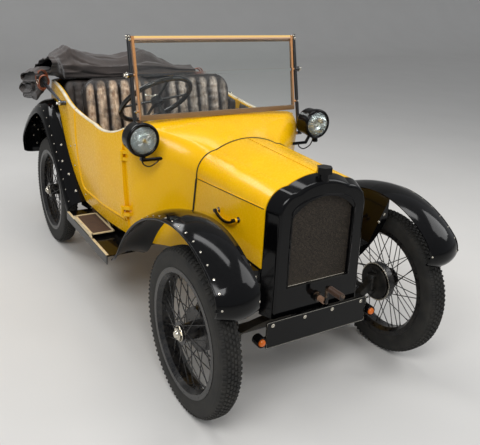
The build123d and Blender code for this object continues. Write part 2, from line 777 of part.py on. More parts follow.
# Rear wings: a steep dome swept over the wheel, cut to the body side
with BuildPart() as rear_wings:
    with BuildLine(Plane.YZ) as rear_path:
        rise = ThreePointArc((back(1480), 452), (back(1640), 630), (back(1800), 775))
        lead = rise % 0
        TangentArc((back(1480), 452), (back(1388), 366), tangent=(-lead.Y, -lead.Z))
        lead = rise % 1
        crown = TangentArc((back(1800), 775), (back(2020), 814), tangent=(lead.Y, lead.Z))
        lead = crown % 1
        fall = TangentArc((back(2020), 814), (back(2385), 600), tangent=(lead.Y, lead.Z))
        lead = fall % 1
        TangentArc((back(2385), 600), (back(2402), 487), tangent=(lead.Y, lead.Z))
    path_edges = rear_path.wire()
    with BuildSketch(Plane(origin=path_edges @ 0, x_dir=(1, 0, 0), z_dir=-(path_edges % 0))) as wing_section:
        with BuildLine():
            Line((445, 88), (508, 80))
            ThreePointArc((508, 80), (565, 56), (592, 0))
            Line((592, 0), (588, 0))
            ThreePointArc((588, 0), (562, 53), (508, 76))
            Line((508, 76), (445, 84))
            Line((445, 84), (445, 88))
        make_face()
    sweep(wing_section.sketch, path=path_edges)
    mirror(about=Plane.YZ)
    add(body_form.part, mode=Mode.SUBTRACT)
save(rear_wings, "rear_wings")

# Windscreen: raked frame with a transom between the two panes, side posts and the pivots between them
screen_foot = 703.0
screen_foot_z = 1020.0
screen_height = 374.0
screen_halves = (430.0, 440.0)
screen_rake = (80.0, 383.0)
screen_plane = Plane(origin=(0, back(screen_foot), screen_foot_z), x_dir=(1, 0, 0),
                     z_dir=(0, -screen_rake[1], screen_rake[0]))
screen_bar = 12.0
transom = (195.0, 209.0)
# Panes: lower and upper edge along the rake
panes = ((20.0, transom[0]), (transom[1], screen_height - 16))


def screen_trapezium(low, high, inset):
    """Closed outline between two heights on the screen, drawn in from its side edges."""
    bottom, top = screen_halves
    widths = [bottom + (top - bottom) * v / screen_height - inset for v in (low, high)]
    with BuildLine() as outline:
        Polyline((-widths[0], low), (widths[0], low), (widths[1], high), (-widths[1], high), close=True)
    make_face(outline.edges())


with BuildPart() as windscreen_frame:
    with BuildSketch(screen_plane) as frame_outline:
        screen_trapezium(0, screen_height, 0)
    extrude(frame_outline.sketch, amount=14)
    for low, high in panes:
        with BuildSketch(screen_plane) as pane_hole:
            screen_trapezium(low, high, screen_bar)
        extrude(pane_hole.sketch, amount=14, mode=Mode.SUBTRACT)
    for side in (1, -1):
        rod((side * 452, back(676), 925), (side * 452, back(774), 1393), 9)
        rod((side * 452, back(676), 925), (side * 470, back(672), 895), 9)
        rod((side * 470, back(672), 895), (side * 420, back(672), 895), 9)
        for z in (1060, 1220, 1374):
            station = 676 + (z - 925) * 98 / 468
            rod((side * 428, back(station), z), (side * 456, back(station), z), 6)
        rod((side * 450, back(738), 1220), (side * 474, back(738), 1220), 12)
    add(scuttle_form.part, mode=Mode.SUBTRACT)
save(windscreen_frame, "windscreen_frame")

with BuildPart() as windscreen_glass:
    for low, high in panes:
        with BuildSketch(screen_plane.offset(5)) as pane:
            screen_trapezium(low, high, screen_bar)
        extrude(pane.sketch, amount=4)
save(windscreen_glass, "windscreen_glass")

# Headlamps on the scuttle sides: deep bowl, bezel, domed glass and a curved bracket
lamp_x = 474.0
lamp_station = 578.0
lamp_z = 966.0
bowl_radius = 76.0
bowl_centre = 16.0
bowl_turn = 66.0
lens_radius = 61.5
lens_sphere = 178.0
with BuildPart() as lamp_form:
    with BuildSketch(Plane.XY):
        with BuildLine():
            bowl = CenterArc((0, bowl_centre), bowl_radius, 90, -bowl_turn)
            Polyline(bowl @ 1, (70, -4), (74, -6), (74, -30), (66, -36), (62, -36), (62, -6))
            inner = CenterArc((0, bowl_centre), bowl_radius - 7, 90, -bowl_turn)
            Line((62, -6), inner @ 1)
            Line(inner @ 0, bowl @ 0)
        make_face()
    revolve(axis=Axis.Y)
with BuildPart() as lens_form:
    with BuildSketch(Plane.XY):
        with BuildLine():
            spread = degrees(asin(lens_radius / lens_sphere))
            front = CenterArc((0, lens_sphere - 37), lens_sphere, -90, spread)
            back_face = CenterArc((0, lens_sphere - 31), lens_sphere, -90, spread)
            Line(front @ 1, back_face @ 1)
            Line(front @ 0, back_face @ 0)
        make_face()
    revolve(axis=Axis.Y)
with BuildPart() as headlamps:
    for side in (1, -1):
        add(lamp_form.part.moved(Location((side * lamp_x, back(lamp_station), lamp_z))))
        pipe([(side * lamp_x, back(600), lamp_z - 66), (side * 452, back(602), lamp_z - 106),
              (side * 330, back(602), lamp_z - 106)], 8)
    add(scuttle_form.part, mode=Mode.SUBTRACT)
save(headlamps, "headlamps")
with BuildPart() as headlamp_lenses:
    for side in (1, -1):
        add(lens_form.part.moved(Location((side * lamp_x, back(lamp_station), lamp_z))))
save(headlamp_lenses, "headlamp_lenses")

# Seats: two in front with separate backs, and a bench between the rear wheel houses
seat_floor = floor_z + 0.4
with BuildPart() as front_seats:
    for side in (1, -1):
        with BuildSketch(Plane.YZ.offset(side * 40)):
            with BuildLine():
                FilletPolyline((back(1060), seat_floor), (back(1010), 690), (back(1330), 668),
                               (back(1415), 1065), (back(1480), 1050), (back(1420), seat_floor),
                               radius=[12, 45, 30, 30, 30, 12], close=True)
            make_face()
        extrude(amount=side * 420)
save(front_seats, "front_seats")
with BuildPart() as rear_seat:
    with BuildSketch(Plane.YZ.offset(-400)):
        with BuildLine():
            FilletPolyline((back(1660), kick_z + 0.4), (back(1640), 740), (back(2010), 715),
                           (back(2065), 992), (back(2120), 988), (back(2110), kick_z + 0.4),
                           radius=[12, 45, 30, 20, 20, 12], close=True)
        make_face()
    extrude(amount=800)
save(rear_seat, "rear_seat")

# Steering column and wheel
column_run = wheel_centre - column_foot
column_plane = Plane(origin=wheel_centre, z_dir=column_run)
steering_radius = 195.0
shaft_radius = 9.0
with BuildPart() as steering_column:
    rod(column_foot, wheel_centre - column_run.normalized() * 60, 16)
    rod(column_foot, wheel_centre, shaft_radius)
    block((-178, -122), (345, 412), (rail_top, 500))
save(steering_column, "steering_column")
with BuildPart() as steering_wheel:
    with BuildSketch(Plane(origin=wheel_centre, x_dir=column_plane.z_dir, z_dir=column_plane.x_dir)):
        with Locations((0, steering_radius - 12), (0, steering_radius - 12)):
            Circle(12)
    revolve(axis=Axis(wheel_centre, column_plane.z_dir))
    with BuildSketch(column_plane.offset(-26)):
        Circle(30)
    extrude(amount=34)
    with BuildSketch(column_plane.offset(-6)):
        with PolarLocations(0, 4):
            with Locations((100, 0)):
                Rectangle(166, 14)
    extrude(amount=6)
    with BuildSketch(column_plane.offset(-30)):
        Circle(shaft_radius + pin_clearance)
    extrude(amount=30.5, mode=Mode.SUBTRACT)
save(steering_wheel, "steering_wheel")

# Folded hood over the tail: the roll across the car and the bunch of folds that hangs at each side
hood_half = 540.0
bunch = (531.0, 592.0)
with BuildPart() as hood:
    with BuildSketch(Plane.YZ.offset(-hood_half)):
        with BuildLine():
            FilletPolyline((back(2072), 1000), (back(2080), 1105), (back(2200), 1172), (back(2350), 1150),
                           (back(2480), 1075), (back(2505), 995), (back(2300), 993),
                           radius=[14, 40, 60, 60, 50, 25, 0], close=True)
        make_face()
    extrude(amount=2 * hood_half)
    for side in (1, -1):
        with BuildSketch(Plane.YZ.offset(side * bunch[0])):
            with BuildLine():
                FilletPolyline((back(1945), 925), (back(2010), 903), (back(2180), 882), (back(2330), 850),
                               (back(2440), 842), (back(2525), 880), (back(2540), 975),
                               (back(2500), 1070), (back(2390), 1128), (back(2190), 1128),
                               (back(2050), 1062), (back(1962), 990),
                               radius=[15, 20, 60, 40, 40, 30, 40, 40, 60, 80, 60, 25], close=True)
            make_face()
        extrude(amount=side * (bunch[1] - bunch[0]))
    add(rear_wings.part, mode=Mode.SUBTRACT)
save(hood, "hood")
# Hood irons: two flat bars from a pivot on each body side, up to the folded hood
iron_pivot = (1570.0, 952.0)
with BuildPart() as hood_irons:
    for side in (1, -1):
        pivot = (side * 541, back(iron_pivot[0]), iron_pivot[1])
        rod((side * 490, back(iron_pivot[0]), iron_pivot[1]), (side * 553, back(iron_pivot[0]), iron_pivot[1]), 13)
        for rise, far in ((0, 1960), (26, 1990)):
            rod(pivot, (side * 541, back(far), iron_pivot[1] + 48 + rise), 6)
    add(body_form.part, mode=Mode.SUBTRACT)
    add(hood.part, mode=Mode.SUBTRACT)
save(hood_irons, "hood_irons")

# Number plate on two arms from the radiator bearer, with an indicator in a round housing at each end
plate_station = -150.0
plate_z = 322.0
with BuildPart() as number_plate:
    with BuildSketch(Plane.XZ.offset(-back(plate_station))):
        with Locations((0, plate_z)):
            RectangleRounded(510, 118, 8)
    extrude(amount=-4)
    for side in (1, -1):
        rod((side * 70, back(plate_station + 2), 358), (side * 70, back(-100), 358), 8)
save(number_plate, "number_plate")
with BuildPart() as indicators:
    for side in (1, -1):
        with BuildSketch(Plane.XZ.offset(-back(plate_station - 10))):
            with Locations((side * 280, plate_z - 16)):
                Circle(22)
        extrude(amount=-38)
        block((side * 226, side * 282), (plate_station + 4.2, plate_station + 8), (plate_z - 28, plate_z - 4))
    add(number_plate.part, mode=Mode.SUBTRACT)
save(indicators, "indicators")

# Starting handle: shaft out of the radiator shell, crank and turned grip
shaft_z = 428.0
grip_z = 494.0
with BuildPart() as starting_handle:
    rod((0, back(shell_front), shaft_z), (0, back(shell_front - 16), shaft_z), 20)
    pipe([(0, back(shell_front), shaft_z), (0, back(-188), shaft_z), (0, back(-188), grip_z),
          (0, back(-276), grip_z)], 8)
    rod((0, back(-198), grip_z), (0, back(-278), grip_z), 13)
save(starting_handle, "starting_handle")

# Gear lever on the gearbox, hand brake on the floor, and the three pedals
with BuildPart() as levers:
    rod((0, back(690), 505), (0, back(690), 522), 26)
    rod((0, back(690), 515), (0, back(820), 760), 7)
    with Locations((0, back(820), 765)):
        Sphere(18)
    rod((70, back(850), 448), (70, back(910), 715), 7)
    rod((70, back(896), 655), (70, back(916), 740), 11)
    for x in (-300, -205, -120):
        rod((x, back(560), 448), (x, back(660), 560), 6)
        with BuildSketch(Plane(origin=(x, back(658), 558), z_dir=(0, 0.666, 0.746))):
            Rectangle(46, 58)
        extrude(amount=8)
    add(engine_block.part, mode=Mode.SUBTRACT)
    add(scuttle.part, mode=Mode.SUBTRACT)
    add(body_tub.part, mode=Mode.SUBTRACT)
save(levers, "levers")
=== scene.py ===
import math

import bmesh
import bpy
from mathutils import Matrix, Vector, noise
from mathutils.bvhtree import BVHTree


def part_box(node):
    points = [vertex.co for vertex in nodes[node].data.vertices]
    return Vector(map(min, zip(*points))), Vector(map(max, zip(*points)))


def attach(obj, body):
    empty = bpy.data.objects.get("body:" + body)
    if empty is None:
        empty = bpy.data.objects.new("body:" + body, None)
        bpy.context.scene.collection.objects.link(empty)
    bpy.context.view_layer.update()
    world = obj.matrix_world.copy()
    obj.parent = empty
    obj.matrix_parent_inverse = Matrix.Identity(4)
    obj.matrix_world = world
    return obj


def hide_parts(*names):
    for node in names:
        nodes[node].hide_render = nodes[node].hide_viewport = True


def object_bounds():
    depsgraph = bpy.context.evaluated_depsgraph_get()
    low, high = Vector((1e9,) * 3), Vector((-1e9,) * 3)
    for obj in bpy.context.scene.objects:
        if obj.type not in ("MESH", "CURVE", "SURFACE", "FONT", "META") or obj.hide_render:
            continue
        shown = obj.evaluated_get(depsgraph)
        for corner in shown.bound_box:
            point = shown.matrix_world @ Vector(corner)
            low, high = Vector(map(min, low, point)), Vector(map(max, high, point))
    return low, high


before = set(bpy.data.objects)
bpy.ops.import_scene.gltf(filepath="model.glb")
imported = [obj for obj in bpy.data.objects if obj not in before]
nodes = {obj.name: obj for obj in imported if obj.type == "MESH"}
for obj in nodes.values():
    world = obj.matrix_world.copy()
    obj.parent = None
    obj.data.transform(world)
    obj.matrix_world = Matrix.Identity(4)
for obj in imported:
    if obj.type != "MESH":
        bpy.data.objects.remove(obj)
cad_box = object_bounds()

scene = bpy.context.scene

# Studio: a pale seamless floor that turns up behind the car, lit by large soft lamps. The camera stands
# right of the nose at head height, as for the photograph.
picture = (480, 445)
eye = Vector((-1.4770, -2.9622, 1.6127))
yaw, pitch, roll = (math.radians(a) for a in (30.8, -17.7, 2.3))
focal_pixels = 614.1
picture_centre = (228.0, 183.0)


def colour(code):
    """Linear colour of an sRGB hex code."""
    parts = [int(code[i:i + 2], 16) / 255 for i in (0, 2, 4)]
    return [p / 12.92 if p <= 0.04045 else ((p + 0.055) / 1.055) ** 2.4 for p in parts] + [1.0]


def feed(tree, made, inputs):
    """Set a node's inputs, each to a value, a hex colour or the socket that feeds it."""
    for key, value in dict(inputs).items():
        socket = made.inputs[key]
        if isinstance(value, bpy.types.NodeSocket):
            tree.links.new(value, socket)
        else:
            is_paint = socket.type == "RGBA" and isinstance(value, str)
            socket.default_value = colour(value) if is_paint else value


def node(tree, kind, out, inputs=(), **settings):
    """One node with its settings and inputs. Gives the output asked for, or the node itself for None."""
    made = tree.nodes.new(kind)
    for name, value in settings.items():
        setattr(made, name, value)
    feed(tree, made, inputs)
    return made if out is None else made.outputs[out]


def finish(name, *clouds):
    """New material, its node tree, its shader and the place on the object in metres, then one soft noise for
    each cloud, which is given as waves per metre, detail and roughness."""
    material = bpy.data.materials.new(name)
    material.use_nodes = True
    tree = material.node_tree
    place = node(tree, "ShaderNodeTexCoord", "Object")
    noises = [node(tree, "ShaderNodeTexNoise", 0, {"Vector": place, "Scale": waves, "Detail": detail,
                                                   "Roughness": rough}) for waves, detail, rough in clouds]
    return material, tree, tree.nodes["Principled BSDF"], place, *noises


def set_shader(tree, shader, relief=(), **inputs):
    """Feed the shader, an underscore standing for a space. Relief is bump layers, one over the other, each of
    a height, a strength and a depth in metres."""
    feed(tree, shader, {name.replace("_", " "): value for name, value in inputs.items()})
    for height, strength, depth in relief:
        layer = {"Height": height, "Strength": strength, "Distance": depth}
        if shader.inputs["Normal"].is_linked:
            layer["Normal"] = shader.inputs["Normal"].links[0].from_socket
        tree.links.new(node(tree, "ShaderNodeBump", "Normal", layer), shader.inputs["Normal"])


def clouded(name, cloud, colours, gloss, relief=None, spread=None, most=1, gloss_cloud=None,
            relief_cloud=None, **constants):
    """Plain finish whose colour and gloss drift with a cloud. The second colour comes in over the spread of
    the cloud, up to the most that is given. Gloss is one roughness or its two ends, and relief a bump's
    strength and depth. Gloss and relief may have clouds of their own."""
    wanted = list(dict.fromkeys((cloud, gloss_cloud or cloud, relief_cloud or cloud)))
    material, tree, shader, _, *noises = finish(name, *wanted)
    noise_of = dict(zip(wanted, noises))
    tint = noise_of[cloud]
    if spread:
        tint = node(tree, "ShaderNodeMapRange", 0, {"Value": tint, "From Min": spread[0],
                                                    "From Max": spread[1], "To Max": most})
    if isinstance(gloss, tuple):
        gloss = node(tree, "ShaderNodeMapRange", 0, {"Value": noise_of[gloss_cloud or cloud],
                                                     "To Min": gloss[0], "To Max": gloss[1]})
    paint = node(tree, "ShaderNodeMix", 2, {0: tint, 6: colours[0], 7: colours[1]}, data_type="RGBA")
    set_shader(tree, shader, [(noise_of[relief_cloud or cloud], *relief)] if relief else (), Base_Color=paint,
               Roughness=gloss, **constants)
    return material


def shape(name, mesh, material, sharp=40):
    """Object at the origin from a bmesh, normals outwards, its edges past the sharp angle kept crisp."""
    bmesh.ops.recalc_face_normals(mesh, faces=mesh.faces)
    data = bpy.data.meshes.new(name)
    mesh.to_mesh(data)
    mesh.free()
    data.materials.append(material)
    data.polygons.foreach_set("use_smooth", [True] * len(data.polygons))
    data.set_sharp_from_angle(angle=math.radians(sharp))
    made = bpy.data.objects.new(name, data)
    scene.collection.objects.link(made)
    return made


forward = Vector((math.sin(yaw) * math.cos(pitch), math.cos(yaw) * math.cos(pitch), math.sin(pitch)))
level = forward.cross(Vector((0, 0, 1))).normalized()
upward = level.cross(forward)
across = level * math.cos(roll) + upward * math.sin(roll)
upright = upward * math.cos(roll) - level * math.sin(roll)
lens = bpy.data.cameras.new("camera")
lens.sensor_width = 36
lens.lens = focal_pixels / picture[0] * lens.sensor_width
lens.shift_x = (picture[0] / 2 - picture_centre[0]) / picture[0]
lens.shift_y = (picture_centre[1] - picture[1] / 2) / picture[0]
camera = bpy.data.objects.new("camera", lens)
camera.matrix_world = Matrix((
    (across.x, upright.x, -forward.x, eye.x),
    (across.y, upright.y, -forward.y, eye.y),
    (across.z, upright.z, -forward.z, eye.z),
    (0, 0, 0, 1)))
scene.collection.objects.link(camera)
scene.camera = camera
scene.view_settings.view_transform = "Standard"

# Pale and flat, clouded only so much that it doesn't look empty
floor_paint = clouded("matt studio floor", (1.6, 3, 0.5), ("D5D3CF", "DDDBD7"), 0.62, Specular_IOR_Level=0.25)
bend = [(9 + 3 * math.sin(a), 3 - 3 * math.cos(a)) for a in [math.radians(10 * k) for k in range(1, 10)]]
sweep_profile = [(-14, 0), (9, 0)] + bend + [(12, 20)]
sweep = bmesh.new()
rims = [[sweep.verts.new((x, y, z)) for x in (-40, 40)] for y, z in sweep_profile]
for near, far in zip(rims, rims[1:]):
    sweep.faces.new((near[0], near[1], far[1], far[0]))
shape("studio_floor", sweep, floor_paint)

world = bpy.data.worlds.new("soft studio")
scene.world = world
world.use_nodes = True
tree = world.node_tree
seen = node(tree, "ShaderNodeLightPath", "Is Camera Ray")
sky = node(tree, "ShaderNodeMix", 2, {0: seen, 6: "C9CCD1", 7: "D8D6D2"}, data_type="RGBA")
feed(tree, tree.nodes["Background"], {"Color": sky, "Strength": 0.6})

# Soft boxes: place, what they look at, width, height, power
soft_boxes = [
    ((-2.2, -3.2, 3.6), (0.0, -0.4, 0.6), 2.6, 1.4, 104),
    ((3.4, -2.0, 3.2), (0.1, -0.2, 0.6), 2.2, 2.2, 52),
    ((-1.6, 2.6, 3.8), (-0.1, 0.4, 0.8), 3.0, 1.0, 66),
    ((0.2, -0.2, 4.6), (0.0, 0.1, 0.8), 0.7, 3.6, 50),
]
for k, (stand, target, width, height, power) in enumerate(soft_boxes):
    panel = bpy.data.lights.new(f"soft_box_{k}", "AREA")
    panel.shape = "RECTANGLE"
    panel.size, panel.size_y, panel.energy = width, height, power
    box_lamp = bpy.data.objects.new(f"soft_box_{k}", panel)
    box_lamp.location = stand
    box_lamp.rotation_euler = (Vector(target) - Vector(stand)).to_track_quat("-Z", "Y").to_euler()
    box_lamp.visible_camera = False
    scene.collection.objects.link(box_lamp)

# Coachwork: sheet steel panels in golden yellow coach enamel, brushed and flatted in many coats and then
# varnished, so that the light runs in soft streaks over slight waves of the metal.
front_low, front_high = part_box("wheel_front_left")
front_axle_y = (front_low.y + front_high.y) / 2
axle_z = (front_low.z + front_high.z) / 2


def back(station):
    """Y of a place so many millimetres behind the front axle."""
    return front_axle_y + station / 1000


# Warm yellow with a soft gloss: light streaks break up on the waves of the sheet
coach_enamel, tree, shader, place, coats, grit, waves, polish = finish(
    "golden yellow coach enamel", (7, 4, 0.6), (90, 5, 0.7), (6, 1, 0.5), (420, 2, 0.5))
# Coats differ a little in depth over hand-sized patches, and road dust dulls the lower panels
parts = node(tree, "ShaderNodeSeparateXYZ", None, {"Vector": place}).outputs
low = node(tree, "ShaderNodeMapRange", 0, {"Value": parts["Z"], "From Min": 0.60, "From Max": 0.40,
                                           "To Max": 0.24})
dust = node(tree, "ShaderNodeMath", 0, {0: low, 1: grit}, operation="MULTIPLY")
paint = node(tree, "ShaderNodeMix", 2, {0: coats, 6: "F3B400", 7: "FFC90C"}, data_type="RGBA")
paint = node(tree, "ShaderNodeMix", 2, {0: dust, 6: paint, 7: "9A7A3C"}, data_type="RGBA")
# The bonnet's pull handles stand on the same panels, and are japanned black from their feet outwards
aside = node(tree, "ShaderNodeMath", 0, {0: parts["X"]}, operation="ABSOLUTE")
beyond = node(tree, "ShaderNodeMath", 0, {0: aside, 1: 0.2645}, operation="GREATER_THAN")
for side_of, middle, reach in (("Y", back(183.5), 0.0885), ("Z", 0.700, 0.030)):
    inside = node(tree, "ShaderNodeMath", 0, {0: parts[side_of], 1: middle, 2: reach}, operation="COMPARE")
    beyond = node(tree, "ShaderNodeMath", 0, {0: beyond, 1: inside}, operation="MULTIPLY")
# Waves of the beaten sheet of about 17 cm, and polish marks of a few millimetres
set_shader(tree, shader, [(waves, 0.08, 0.02), (polish, 0.02, 0.0004)],
           Base_Color=node(tree, "ShaderNodeMix", 2, {0: beyond, 6: paint, 7: "141110"}, data_type="RGBA"),
           Roughness=node(tree, "ShaderNodeMapRange", 0, {"Value": grit, "To Min": 0.20, "To Max": 0.34}),
           Specular_IOR_Level=0.25, Coat_Weight=0.15, Coat_Roughness=0.05)
tree.links.new(shader.inputs["Normal"].links[0].from_socket, shader.inputs["Coat Normal"])


def dress(material, *names):
    """Give CAD nodes this finish in place of the plain one they were packed with."""
    for name in names:
        slots = nodes[name].data.materials
        for k in range(len(slots)):
            slots[k] = material


dress(coach_enamel, "body_tub", "scuttle", "door_left", "door_right", "bonnet_left", "bonnet_right")

# Beads and edges of the coachwork: a half-round steel bead soldered round the free edges of each door, and a
# roll of cream leathercloth over cord, tacked along the top of the body. Both follow the panel they sit on.
walls = {}


def hit(name, start, run):
    """Point and normal where a ray first meets a CAD node, or None."""
    if name not in walls:
        mesh = nodes[name].data
        walls[name] = BVHTree.FromPolygons([v.co for v in mesh.vertices], [p.vertices for p in mesh.polygons])
    point, normal, _, _ = walls[name].ray_cast(Vector(start), Vector(run).normalized())
    return (point, normal) if point else None


def side_point(name, side, station, z, stand_off=0.0):
    """Place on the outside of a node, seen from the side at a station and a height in millimetres."""
    found = hit(name, (side * 1.2, back(station), z / 1000), (-side, 0, 0))
    if not found:
        return None
    point, normal = found
    return point + Vector((side * abs(normal.x), normal.y, normal.z)).normalized() * stand_off


def smooth_line(points, steps=6, closed=False):
    """Points of a Catmull-Rom curve through the given ones."""
    points = [Vector(p) for p in points]
    if closed:
        points = [points[-1]] + points + points[:2]
    else:
        points = [points[0] * 2 - points[1]] + points + [points[-1] * 2 - points[-2]]
    line = []
    for a, b, c, d in zip(points, points[1:], points[2:], points[3:]):
        for k in range(steps):
            t = k / steps
            line.append(0.5 * (2 * b + (c - a) * t + (2 * a - 5 * b + 4 * c - d) * t * t
                               + (3 * b - a - 3 * c + d) * t ** 3))
    return line if closed else line + [points[-2]]


def join_rings(mesh, rings):
    """Faces between rings of points, each joined to the next, added to a bmesh; one point alone is a pole."""
    for lower, upper in zip(rings, rings[1:]):
        count = max(len(lower), len(upper))
        for j in range(count):
            k = (j + 1) % count
            corners = dict.fromkeys((lower[j % len(lower)], lower[k % len(lower)],
                                     upper[k % len(upper)], upper[j % len(upper)]))
            if len(corners) > 2:
                mesh.faces.new(list(corners))


def add_tube(mesh, points, radius, sides=8, closed=False, flat=1.0, up=(0, 0, 1)):
    """Bar along the points, added to a bmesh; flat squeezes it along the up direction."""
    points = [Vector(p) for p in points]
    rings = []
    count = len(points)
    for k, point in enumerate(points):
        before = points[k - 1] if k or closed else point
        after = points[(k + 1) % count] if k < count - 1 or closed else point
        run = (after - before).normalized()
        aside = run.cross(Vector(up))
        aside = aside.normalized() if aside.length > 1e-4 else run.orthogonal().normalized()
        top = aside.cross(run)
        rings.append([mesh.verts.new(point + radius * (aside * math.cos(a) + top * math.sin(a) * flat))
                      for a in [2 * math.pi * j / sides for j in range(sides)]])
    join_rings(mesh, rings + rings[:1] if closed else rings)
    if not closed:
        mesh.faces.new(rings[0][::-1])
        mesh.faces.new(rings[-1])


def add_turned(mesh, profile, origin, axis, steps=32):
    """Turned solid, added to a bmesh: profile is a list of distance along the axis and radius."""
    axis = Vector(axis).normalized()
    one = axis.orthogonal().normalized()
    two = axis.cross(one)
    rings = []
    for along, radius in profile:
        centre = Vector(origin) + axis * along
        if radius < 1e-6:
            rings.append([mesh.verts.new(centre)])
        else:
            rings.append([mesh.verts.new(centre + radius * (one * math.cos(a) + two * math.sin(a)))
                          for a in [2 * math.pi * j / steps for j in range(steps)]])
    join_rings(mesh, rings)
    return rings


def add_bar(mesh, low, high, bevel=0.0015):
    """Straight bar with eased edges between two corners, added to a bmesh."""
    low, high = Vector(low), Vector(high)
    made = bmesh.ops.create_cube(mesh, size=1.0)["verts"]
    for corner in made:
        corner.co = Vector([(low[k] + high[k]) / 2 + corner.co[k] * abs(high[k] - low[k]) for k in range(3)])
    edges = list({edge for corner in made for edge in corner.link_edges})
    bmesh.ops.bevel(mesh, geom=edges, offset=bevel, segments=2, affect="EDGES", profile=0.7)


def piece(name, mesh, material, body="car", sharp=40):
    """Object from a bmesh that rides on a body."""
    made = shape(name, mesh, material, sharp)
    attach(made, body)
    return made


# Fine pebble grain, greyed where hands and sleeves rub
piping_cloth = clouded(
    "cream leathercloth piping", (14, 4, 0.5), ("EDE4CC", "CDBF9E"), (0.42, 0.6), (0.3, 0.0005),
    spread=(0.35, 0.75), relief_cloud=(700, 2, 0.5))

# Door edges seen from the side: station and height
door_bead = [(1386, 928), (1379, 860), (1371, 780), (1362, 700), (1353, 610), (1345, 568), (1337, 541),
             (1317, 521), (1290, 515), (1240, 514), (1100, 514), (960, 514), (850, 514), (794, 514)]
# Top of the body: node, first and last station
edge_runs = [("scuttle", 742, 772), ("door", 786, 1388), ("body_tub", 1402, 2076)]
for side, name in ((1, "left"), (-1, "right")):
    door = f"door_{name}"
    bead = bmesh.new()
    line = [side_point(door, side, station, z, 0.0005) for station, z in door_bead]
    add_tube(bead, smooth_line([p for p in line if p]), 0.0060, 10, flat=0.7, up=(side, 0, 0))
    piece(f"{door}_bead", bead, coach_enamel, f"{door}_body")
    for part, first, last in edge_runs:
        target = door if part == "door" else part
        line = []
        for k in range(25):
            station = first + (last - first) * k / 24
            outer = side_point(target, side, station, 915)
            if not outer:
                continue
            inset = 0.012
            for _ in range(2):
                top = hit(target, (outer.x - side * inset, outer.y, 1.3), (0, 0, -1))
                if top:
                    outer = side_point(target, side, station, top[0].z * 1000 - 6) or outer
            if top:
                line.append(Vector((outer.x - side * 0.010, outer.y, top[0].z + 0.001)))
        roll_edge = bmesh.new()
        add_tube(roll_edge, smooth_line(line, 3), 0.0092, sides=12, flat=0.85)
        piece(f"edge_roll_{part}_{name}", roll_edge, piping_cloth,
              f"{door}_body" if part == "door" else "car")

# Wings, radiator shell and lamp bowls: pressed steel in black stove enamel, deep and glossy, with fine dust
# and wiping marks that show as a faint grey bloom on the upper faces.
# Deep gloss over slow waves of the sheet, with the grey bloom on what faces up
stove_enamel, tree, shader, place, waves = finish("black stove enamel", (9, 1, 0.5))
normal = node(tree, "ShaderNodeNewGeometry", "Normal")
facing = node(tree, "ShaderNodeSeparateXYZ", "Z", {"Vector": normal})
wipe = node(tree, "ShaderNodeMapping", 0, {"Vector": place, "Scale": (30, 6, 30), "Rotation": (0, 0, 0.4)})
marks = node(tree, "ShaderNodeTexNoise", 0, {"Vector": wipe, "Scale": 3, "Detail": 6, "Roughness": 0.65})
upper = node(tree, "ShaderNodeMapRange", 0, {"Value": facing, "From Min": 0.2, "From Max": 1, "To Max": 0.5})
bloom = node(tree, "ShaderNodeMath", 0, {0: upper, 1: marks}, operation="MULTIPLY")
set_shader(tree, shader, [(waves, 0.10, 0.012)],
           Base_Color=node(tree, "ShaderNodeMix", 2, {0: bloom, 6: "050506", 7: "1D1C1B"}, data_type="RGBA"),
           Roughness=node(tree, "ShaderNodeMapRange", 0, {"Value": marks, "To Min": 0.05, "To Max": 0.16}),
           Specular_IOR_Level=0.22)
dress(stove_enamel, "front_wings", "rear_wings", "radiator_shell", "headlamps", "running_boards",
      "number_plate")

# Wing edges: the sheet is rolled over a wire into a round bead all along the free edge, and held to its stays
# by small nickel-plated round heads with washers.
# Warm white metal with hazy patches where it has been handled
nickel = clouded(
    "nickel plate", (60, 4, 0.5), ("B9B2A2", "DDD8CC"), (0.12, 0.34), (0.05, 0.0005),
    relief_cloud=(500, 2, 0.5), Metallic=1.0)


def strew_tree():
    """Node tree that sets a unit on each spot, turned to the spot's facing and run, as one real mesh."""
    tree = bpy.data.node_groups.new("strew", "GeometryNodeTree")
    tree.interface.new_socket(name="Spots", in_out="INPUT", socket_type="NodeSocketGeometry")
    tree.interface.new_socket(name="Unit", in_out="INPUT", socket_type="NodeSocketObject")
    tree.interface.new_socket(name="Finish", in_out="INPUT", socket_type="NodeSocketMaterial")
    tree.interface.new_socket(name="Laid", in_out="OUTPUT", socket_type="NodeSocketGeometry")
    entry = node(tree, "NodeGroupInput", None).outputs
    facing, run = [node(tree, "GeometryNodeInputNamedAttribute", "Attribute", {"Name": name},
                        data_type="FLOAT_VECTOR") for name in ("facing", "run")]
    upright = node(tree, "FunctionNodeAlignRotationToVector", "Rotation", {"Vector": facing}, axis="Z")
    turned = node(tree, "FunctionNodeAlignRotationToVector", "Rotation", {"Rotation": upright, "Vector": run},
                  axis="X", pivot_axis="Z")
    unit = node(tree, "GeometryNodeObjectInfo", "Geometry", {"Object": entry["Unit"]})
    laid = node(tree, "GeometryNodeInstanceOnPoints", "Instances",
                {"Points": entry["Spots"], "Rotation": turned, "Instance": unit})
    real = node(tree, "GeometryNodeRealizeInstances", "Geometry", {"Geometry": laid})
    dressed = node(tree, "GeometryNodeSetMaterial", "Geometry",
                   {"Geometry": real, "Material": entry["Finish"]})
    node(tree, "NodeGroupOutput", None, {"Laid": dressed})
    return tree


strewing = strew_tree()


